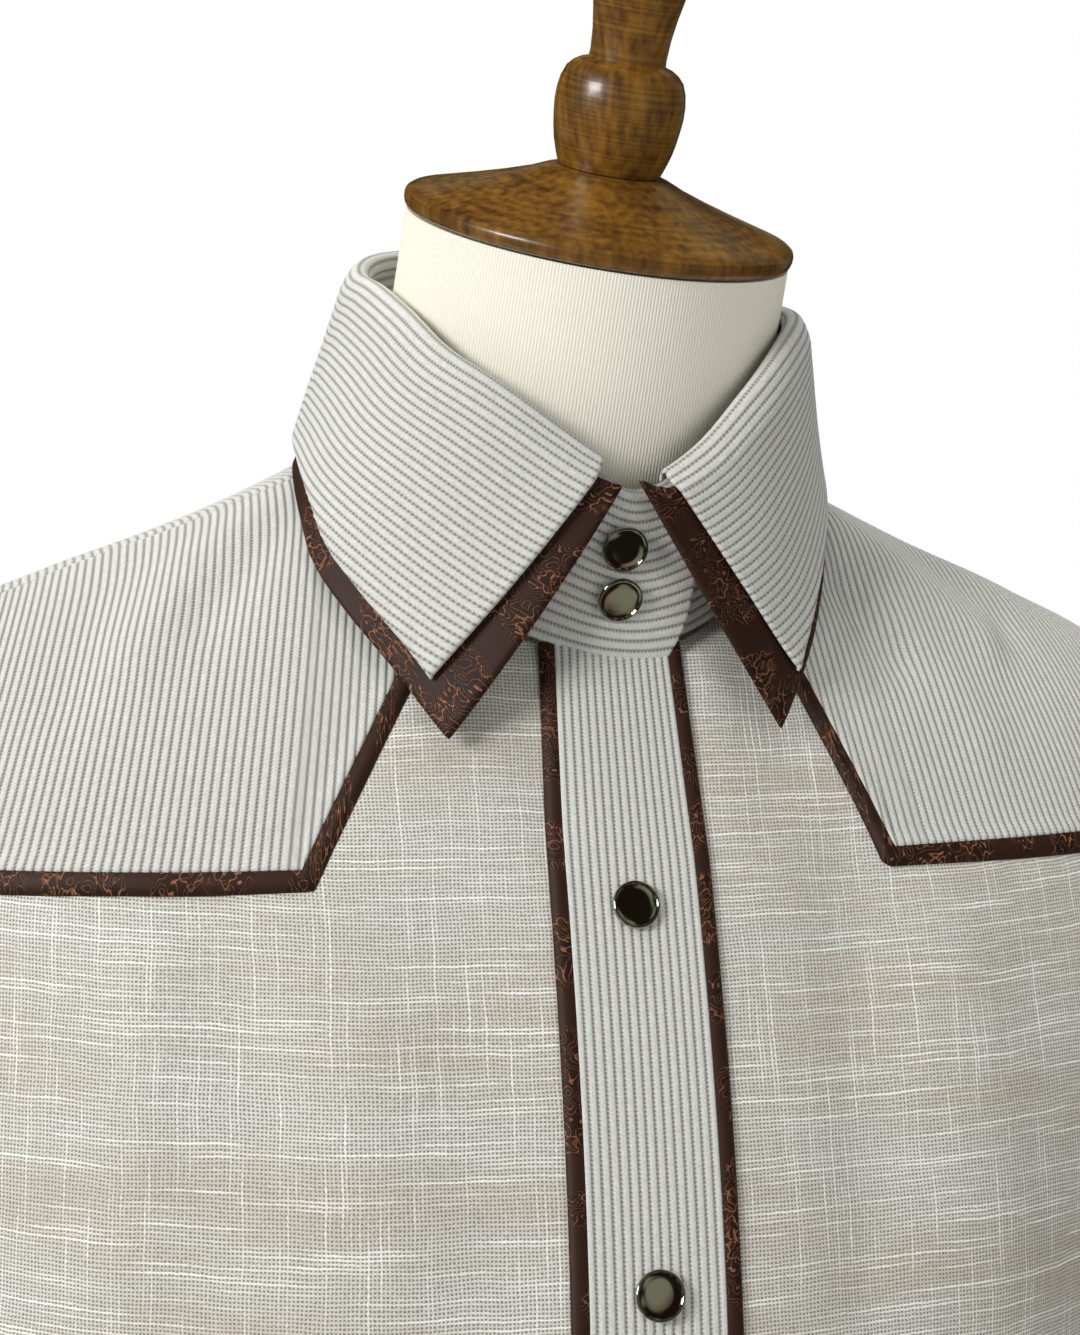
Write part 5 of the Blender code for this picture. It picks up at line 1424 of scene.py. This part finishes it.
def rows_between(keys, along_keys, wanted):
    """Rows of points between key rows[column, row], on smooth curves down each column."""
    flat = keys.transpose(1, 0, 2).reshape(keys.shape[1], -1)
    return smooth(wanted, along_keys, flat).reshape(len(wanted), -1, 3).transpose(1, 0, 2)


def sleeve_normals(points, side):
    """The normals of a closed grid round a sleeve, away from its centre line."""
    normals = normals_of(points)
    outward = (points - (side * SLEEVE_CENTRE[0], SLEEVE_CENTRE[1], 0)) * (1, 1, 0)
    if np.sum(normals * outward) < 0:
        normals = -normals
    normals[0] = normals[-1] = unit(normals[0] + normals[-1])
    return normals


def add_sleeve_cloth(cloth, name, side, points, lift, pattern):
    """A closed grid round a sleeve, lifted along its normals and made into cloth."""
    lift = np.broadcast_to(lift, points.shape[:2])
    points = points + sleeve_normals(points, side) * lift[..., None]
    points[-1] = points[0]
    centre = (side * SLEEVE_CENTRE[0], SLEEVE_CENTRE[1])
    add_cloth(cloth, name, points, pattern, centre=centre, closed=True)


def make_sleeve(name, side):
    """A linen sleeve, hanging empty from the armhole to the cuff."""
    loop = armhole_loop(side)
    shares = np.linspace(0, 1, 111)
    first = np.stack([np.interp(shares, shares_along(loop), loop[:, a]) for a in range(3)], -1)
    keys = np.stack([first, *[sleeve_ring(ring, side, shares) for ring in SLEEVE_RINGS]], axis=1)
    along_keys = tracks_of(keys).mean(axis=0)
    down = np.concatenate([EDGE_STEPS, np.linspace(0.004, along_keys[-1], 96)])
    points = rows_between(keys, along_keys, down)
    around = np.broadcast_to(shares[:, None] * SLEEVE_GIRTH, points.shape[:2])
    inner_side = np.clip(np.abs(shares - 0.5) / 0.5, 0, 1)[:, None] ** 0.5
    settle = np.clip((down - 0.002) / 0.03, 0, 1)[None, :]
    creases = crease_lift(np.stack([around, points[..., 2]], -1), SLEEVE_CREASES)
    puff = 0.0012 * hump(np.abs(down - 0.004), 0.006)[None, :]
    lift = (creases * settle + puff) * inner_side
    pattern = in_millimetres(around, down[None, :])
    add_sleeve_cloth(LINEN, name, side, points, lift, pattern)


def make_cuff(name, side):
    """A corduroy cuff that closes with one snap, its wales round the wrist."""
    shares = np.linspace(0, 1, 81)
    keys = np.stack([sleeve_ring(ring, side, shares) for ring in CUFF_RINGS], axis=1)
    rows = CUFF_WALES * CUFF_STEPS
    points = rows_between(keys, np.linspace(0, 1, len(CUFF_RINGS)), np.linspace(0, 1, rows + 1))
    wales = np.linspace(0, CUFF_WALES, rows + 1)[None, :]
    from_edge = np.minimum(wales, CUFF_WALES - wales) * WALE
    lift = CORDUROY_WALL + 0.0002 + wale_height(wales) - lip(from_edge, CUFF_LIP)
    pattern = in_millimetres(wales * WALE, shares[:, None] * CUFF_GIRTH)
    add_sleeve_cloth(CORDUROY, name, side, points, lift, pattern)


# ---------------------------------------------------------------- snaps, form and stand

Turned = namedtuple("Turned", "radius height")
SNAP_PROFILE = (
    Turned(0.0000, 0.00156),
    Turned(0.0030, 0.00154),
    Turned(0.0046, 0.00148),
    Turned(0.0051, 0.00140),
    Turned(0.0052, 0.00152),
    Turned(0.0053, 0.00176),
    Turned(0.0055, 0.00190),
    Turned(0.0058, 0.00186),
    Turned(0.0060, 0.00164),
    Turned(0.0061, 0.00120),
    Turned(0.0060, 0.00050),
    Turned(0.0056, 0.00010),
    Turned(0.0000, 0.00000),
)
CAP_PROFILE = (
    Turned(0.0000, -0.0040),
    Turned(0.0505, -0.0040),
    Turned(0.0520, -0.0037),
    Turned(0.0529, -0.0029),
    Turned(0.0532, -0.0018),
    Turned(0.0532, -0.0006),
    Turned(0.0529, 0.0002),
    Turned(0.0521, 0.0008),
    Turned(0.0500, 0.0014),
    Turned(0.0400, 0.0043),
    Turned(0.0300, 0.0074),
    Turned(0.0220, 0.0102),
    Turned(0.0170, 0.0124),
    Turned(0.0145, 0.0132),
    Turned(0.0000, 0.0132),
)
FINIAL_PROFILE = (
    Turned(0.0000, 0.0135),
    Turned(0.0139, 0.0135),
    Turned(0.0145, 0.0150),
    Turned(0.0152, 0.0170),
    Turned(0.0160, 0.0196),
    Turned(0.0166, 0.0226),
    Turned(0.0171, 0.0261),
    Turned(0.0174, 0.0295),
    Turned(0.0173, 0.0326),
    Turned(0.0168, 0.0356),
    Turned(0.0157, 0.0384),
    Turned(0.0142, 0.0400),
    Turned(0.0124, 0.0411),
    Turned(0.0108, 0.0416),
    Turned(0.0103, 0.0419),
    Turned(0.0102, 0.0437),
    Turned(0.0105, 0.0487),
    Turned(0.0113, 0.0542),
    Turned(0.0124, 0.0597),
    Turned(0.0138, 0.0657),
    Turned(0.0150, 0.0717),
    Turned(0.0157, 0.0772),
    Turned(0.0158, 0.0822),
    Turned(0.0152, 0.0872),
    Turned(0.0138, 0.0915),
    Turned(0.0114, 0.0949),
    Turned(0.0080, 0.0970),
    Turned(0.0040, 0.0983),
    Turned(0.0000, 0.0987),
)
BASE_PROFILE = (
    Turned(0.0000, 0.0000),
    Turned(0.1780, 0.0000),
    Turned(0.1794, 0.0005),
    Turned(0.1800, 0.0018),
    Turned(0.1800, 0.0070),
    Turned(0.1788, 0.0092),
    Turned(0.1750, 0.0110),
    Turned(0.1674, 0.0136),
    Turned(0.1100, 0.0168),
    Turned(0.0400, 0.0196),
    Turned(0.0310, 0.0200),
    Turned(0.0000, 0.0200),
)
POLE_PROFILE = (
    Turned(0.0000, 0.0203),
    Turned(0.0160, 0.0203),
    Turned(0.0160, 0.8640),
    Turned(0.0157, 0.8694),
    Turned(0.0000, 0.8697),
)


def add_turned(name, profile, steps, turn, material, replaced):
    """A solid turned about its own axis from a profile, then put in place."""
    bm = bmesh.new()
    verts = [bm.verts.new((row.radius, 0, row.height)) for row in profile]
    edges = [bm.edges.new(pair) for pair in zip(verts, verts[1:])]
    bmesh.ops.spin(
        bm,
        geom=verts + edges,
        cent=(0, 0, 0),
        axis=(0, 0, 1),
        angle=2 * math.pi,
        steps=steps,
        use_merge=True,
    )
    bmesh.ops.remove_doubles(bm, verts=bm.verts, dist=1e-6)
    bmesh.ops.recalc_face_normals(bm, faces=bm.faces)
    bmesh.ops.transform(bm, matrix=turn, verts=bm.verts)
    piece = add_piece(name, bm, material, replaced)
    piece.data.set_sharp_from_angle(angle=math.radians(50))


def placed(point, axis):
    """The matrix that turns +Z to an axis and moves the origin to a point."""
    turn = Vector((0, 0, 1)).rotation_difference(Vector(axis))
    return Matrix.Translation(Vector(point)) @ turn.to_matrix().to_4x4()


# Every snap is pressed on a little askew: how far its face leans across and up
SNAP_LEANS = {
    "snap_stand_1": (0.05, -0.02),
    "snap_stand_2": (-0.03, 0.06),
    "snap_1": (0.02, -0.05),
    "snap_2": (-0.04, 0.04),
    "snap_3": (0.03, 0.01),
    "snap_5": (-0.02, -0.03),
}


def make_snap(name, point, axis):
    across, up = SNAP_LEANS.get(name, (0, 0))
    turn = placed(point, Vector(axis) + Vector((across, 0, up)))
    add_turned(name + "_cap", SNAP_PROFILE, 48, turn, NICKEL, name)


def make_snaps():
    out = BAND_LIFTS[-1].out + WALE_HEIGHT + CORDUROY_WALL + 0.0001
    for number, share in enumerate(STAND_SNAP_SHARES, 1):
        drop = band_drop(np.array(STAND_SNAP_ANGLE))
        out_there = np.array(out + BAND_DROP_LIFT * drop / BAND_DROP)
        point = on_band(np.array(STAND_SNAP_ANGLE), np.array(share), out_there, drop)
        make_snap(f"snap_stand_{number}", point, away_from_neck(point))
    lift = STRIP_LIFT + WALE_HEIGHT + CORDUROY_WALL
    for number in range(SNAP_COUNT):
        angle = np.array(0.0)
        level = np.array(FIRST_SNAP + SNAP_PITCH * number)
        flat = body(angle, level)
        lifted = lift + crease_lift(seen_flat(flat), FRONT_CREASES)
        make_snap(f"snap_{number + 1}", on_body(angle, level, lifted), body_normal(angle, level))
    for name, side in (("right", -1), ("left", 1)):
        ring = CUFF_RINGS[1]
        middle = (ring.front_y + ring.back_y) / 2
        out_x = side * (ring.outer_x + WALE_HEIGHT + CORDUROY_WALL + 0.0003)
        make_snap(f"snap_cuff_{name}", (out_x, middle, ring.inner_z), (side, 0, 0))


def form_ring(row, angles):
    """The form inside the shirt: it meets the cloth along the shoulders and stands off below."""
    levels = np.full(angles.shape, row.level)
    above = np.clip((FORM_SHOULDER_LEVEL - row.level) / FORM_SHOULDER_RISE, 0, 1)
    ridge = np.sin(np.radians(np.abs(angles))) ** 6 * above**2 * (3 - 2 * above)
    ease = FORM_SHOULDER_GAP + row.ease * (1 - ridge)
    return on_body(angles, levels, -ease)


def neck_ring(row, angles):
    turn = np.radians(angles)
    axis = np.array([0, -math.sin(NECK_TILT), math.cos(NECK_TILT)])
    forward = np.array([0, -math.cos(row.tilt), -math.sin(row.tilt)])
    sideways = np.array([math.cos(row.lean), 0, -math.sin(row.lean)])
    spokes = np.cos(turn)[:, None] * forward + np.sin(turn)[:, None] * sideways
    return NECK_TOP - axis * row.below + spokes * row.radius


def make_form():
    """The limbless form, covered in jersey."""
    angles = np.linspace(-180, 180, 145)
    bottom = form_ring(FormRing(FORM_BOTTOM_LEVEL, FORM_BOTTOM_EASE), angles)
    bottom[:, 2] = FORM_BOTTOM
    rings = [bottom]
    rings += [form_ring(row, angles) for row in FORM_RINGS]
    rings += [neck_ring(row, angles) for row in NECK_RINGS]
    keys = np.stack(rings, axis=1)
    along_keys = tracks_of(keys).mean(axis=0)
    up = np.linspace(0, along_keys[-1], 110)
    points = rows_between(keys, along_keys, up)
    points[-1] = points[0]
    around = (angles / 360 * NECK_GIRTH)[:, None]
    bm = laid_mesh(points, in_millimetres(around, up[None, :]), closed=True)
    bmesh.ops.holes_fill(bm, edges=bm.edges, sides=0)
    bmesh.ops.recalc_face_normals(bm, faces=bm.faces)
    piece = add_piece("form_jersey", bm, JERSEY, "form_torso")
    piece.data.set_sharp_from_angle(angle=math.radians(60))


def make_stand():
    tilted = placed(NECK_TOP, WOOD_AXIS)
    add_turned("turned_cap", CAP_PROFILE, 128, tilted, WOOD, "neck_cap")
    add_turned("turned_finial", FINIAL_PROFILE, 96, tilted, WOOD, "finial")
    upright = Matrix.Identity(4)
    add_turned("stand_base", BASE_PROFILE, 128, upright, ENAMEL, "base")
    add_turned("stand_pole", POLE_PROFILE, 48, upright, ENAMEL, "pole")


# ---------------------------------------------------------------- floor, light and camera

AMBIENT = 0.34


def make_floor():
    material, tree, shader = start_material("pale_floor")
    set_inputs(tree, shader, {"Base Color": linear("#f2f1ef"), "Roughness": 0.8})
    bm = bmesh.new()
    bmesh.ops.create_circle(bm, cap_ends=True, segments=96, radius=1.9)
    mesh = bpy.data.meshes.new("floor")
    bm.to_mesh(mesh)
    bm.free()
    mesh.materials.append(material)
    floor = bpy.data.objects.new("floor", mesh)
    floor.visible_glossy = False
    bpy.context.scene.collection.objects.link(floor)


def make_world():
    """A white surround that lights softly; polished things reflect a dim room with lit patches."""
    world = bpy.data.worlds.new("white_surround")
    world.use_nodes = True
    tree = world.node_tree
    path = add(tree, "LightPath")
    place = add(tree, "TexCoord")
    direction = add(tree, "VectorMath", {0: place.outputs["Generated"], 3: -1.0}, operation="SCALE")
    room = add(tree, "TexNoise", {"Vector": direction, "Scale": 3.4, "Detail": 1.0})
    reflected = add(
        tree,
        "MapRange",
        {0: room, 1: 0.52, 2: 0.66, 3: 0.02, 4: 0.42},
        interpolation_type="SMOOTHSTEP",
    )
    unseen = add(
        tree,
        "Mix",
        {0: path.outputs["Is Glossy Ray"], 2: AMBIENT, 3: reflected},
        data_type="FLOAT",
    )
    strength = add(tree, "Mix", {0: path.outputs["Is Camera Ray"], 2: unseen.outputs[0], 3: 1.0})
    tints = add(tree, "TexNoise", {"Vector": direction, "Scale": 3.1, "Detail": 0.0})
    tint = add(tree, "MapRange", {0: tints, 1: 0.42, 2: 0.58})
    walls = add(tree, "Mix", {0: tint, 6: linear("#d9a98c"), 7: linear("#cdd2b4")}, data_type="RGBA")
    colour = add(
        tree,
        "Mix",
        {0: path.outputs["Is Glossy Ray"], 6: (1, 1, 1, 1), 7: walls.outputs[2]},
        data_type="RGBA",
    )
    set_inputs(tree, tree.nodes["Background"], {"Color": colour.outputs[2], "Strength": strength})
    bpy.context.scene.world = world


Lamp = namedtuple("Lamp", "name place target size power")
LAMPS = (
    Lamp("key", (-2.0, -1.1, 2.2), (0, -0.05, 1.30), 0.8, 48),
    Lamp("fill", (1.2, -1.9, 1.7), (0, -0.05, 1.25), 1.6, 8),
    Lamp("top", (-0.2, 0.2, 3.0), (0, 0, 1.35), 1.2, 14),
    Lamp("back", (0.6, 2.0, 2.0), (0, 0, 1.30), 1.6, 14),
)


def make_lamps():
    for lamp in LAMPS:
        light = bpy.data.lights.new(lamp.name, "AREA")
        light.energy = lamp.power
        light.size = lamp.size
        placed_lamp = bpy.data.objects.new(lamp.name, light)
        direction = Vector(lamp.target) - Vector(lamp.place)
        placed_lamp.location = lamp.place
        placed_lamp.rotation_euler = direction.to_track_quat("-Z", "Y").to_euler()
        placed_lamp.visible_glossy = lamp.name == "key"
        bpy.context.scene.collection.objects.link(placed_lamp)


CAMERA_PLACE = (-0.1594, -0.6107, 1.4253)
CAMERA_TURN = math.radians(-14.82)
CAMERA_PITCH = math.radians(-3.973)
CAMERA_ROLL = math.radians(2.764)
CAMERA_LENS = 71.49
SENSOR = 36.0


def make_camera():
    camera = bpy.data.cameras.new("camera")
    camera.sensor_fit = "HORIZONTAL"
    camera.sensor_width = SENSOR
    camera.lens = CAMERA_LENS
    camera.clip_start = 0.01
    level = math.cos(CAMERA_PITCH)
    ahead = Vector((-math.sin(CAMERA_TURN) * level, math.cos(CAMERA_TURN) * level, math.sin(CAMERA_PITCH)))
    level_right = Vector((math.cos(CAMERA_TURN), math.sin(CAMERA_TURN), 0))
    level_up = level_right.cross(ahead)
    right = level_right * math.cos(CAMERA_ROLL) + level_up * math.sin(CAMERA_ROLL)
    up = level_up * math.cos(CAMERA_ROLL) - level_right * math.sin(CAMERA_ROLL)
    turn = Matrix((right, up, -ahead)).transposed().to_4x4()
    holder = bpy.data.objects.new("camera", camera)
    holder.matrix_world = Matrix.Translation(Vector(CAMERA_PLACE)) @ turn
    bpy.context.scene.collection.objects.link(holder)
    bpy.context.scene.camera = holder


# ---------------------------------------------------------------- the whole

make_form()
make_stand()
make_front("front_right", -1, UNDERLAP_X + 0.0006)
make_front("front_left", 1, -UNDERLAP_X)
make_back()
for word, hand in (("right", -1), ("left", 1)):
    make_front_yoke(f"front_yoke_{word}", hand)
    make_front_piping(f"front_piping_{word}", hand)
    make_placket_piping(f"placket_piping_{word}", hand)
    make_sleeve(f"sleeve_{word}", hand)
    make_cuff(f"cuff_{word}", hand)
make_placket()
make_back_yoke()
make_back_piping()
make_collar_stand()
make_under_collar()
make_collar_leaf()
make_snaps()
make_floor()
make_world()
make_lamps()
make_camera()
bpy.context.scene.view_settings.view_transform = "Standard"
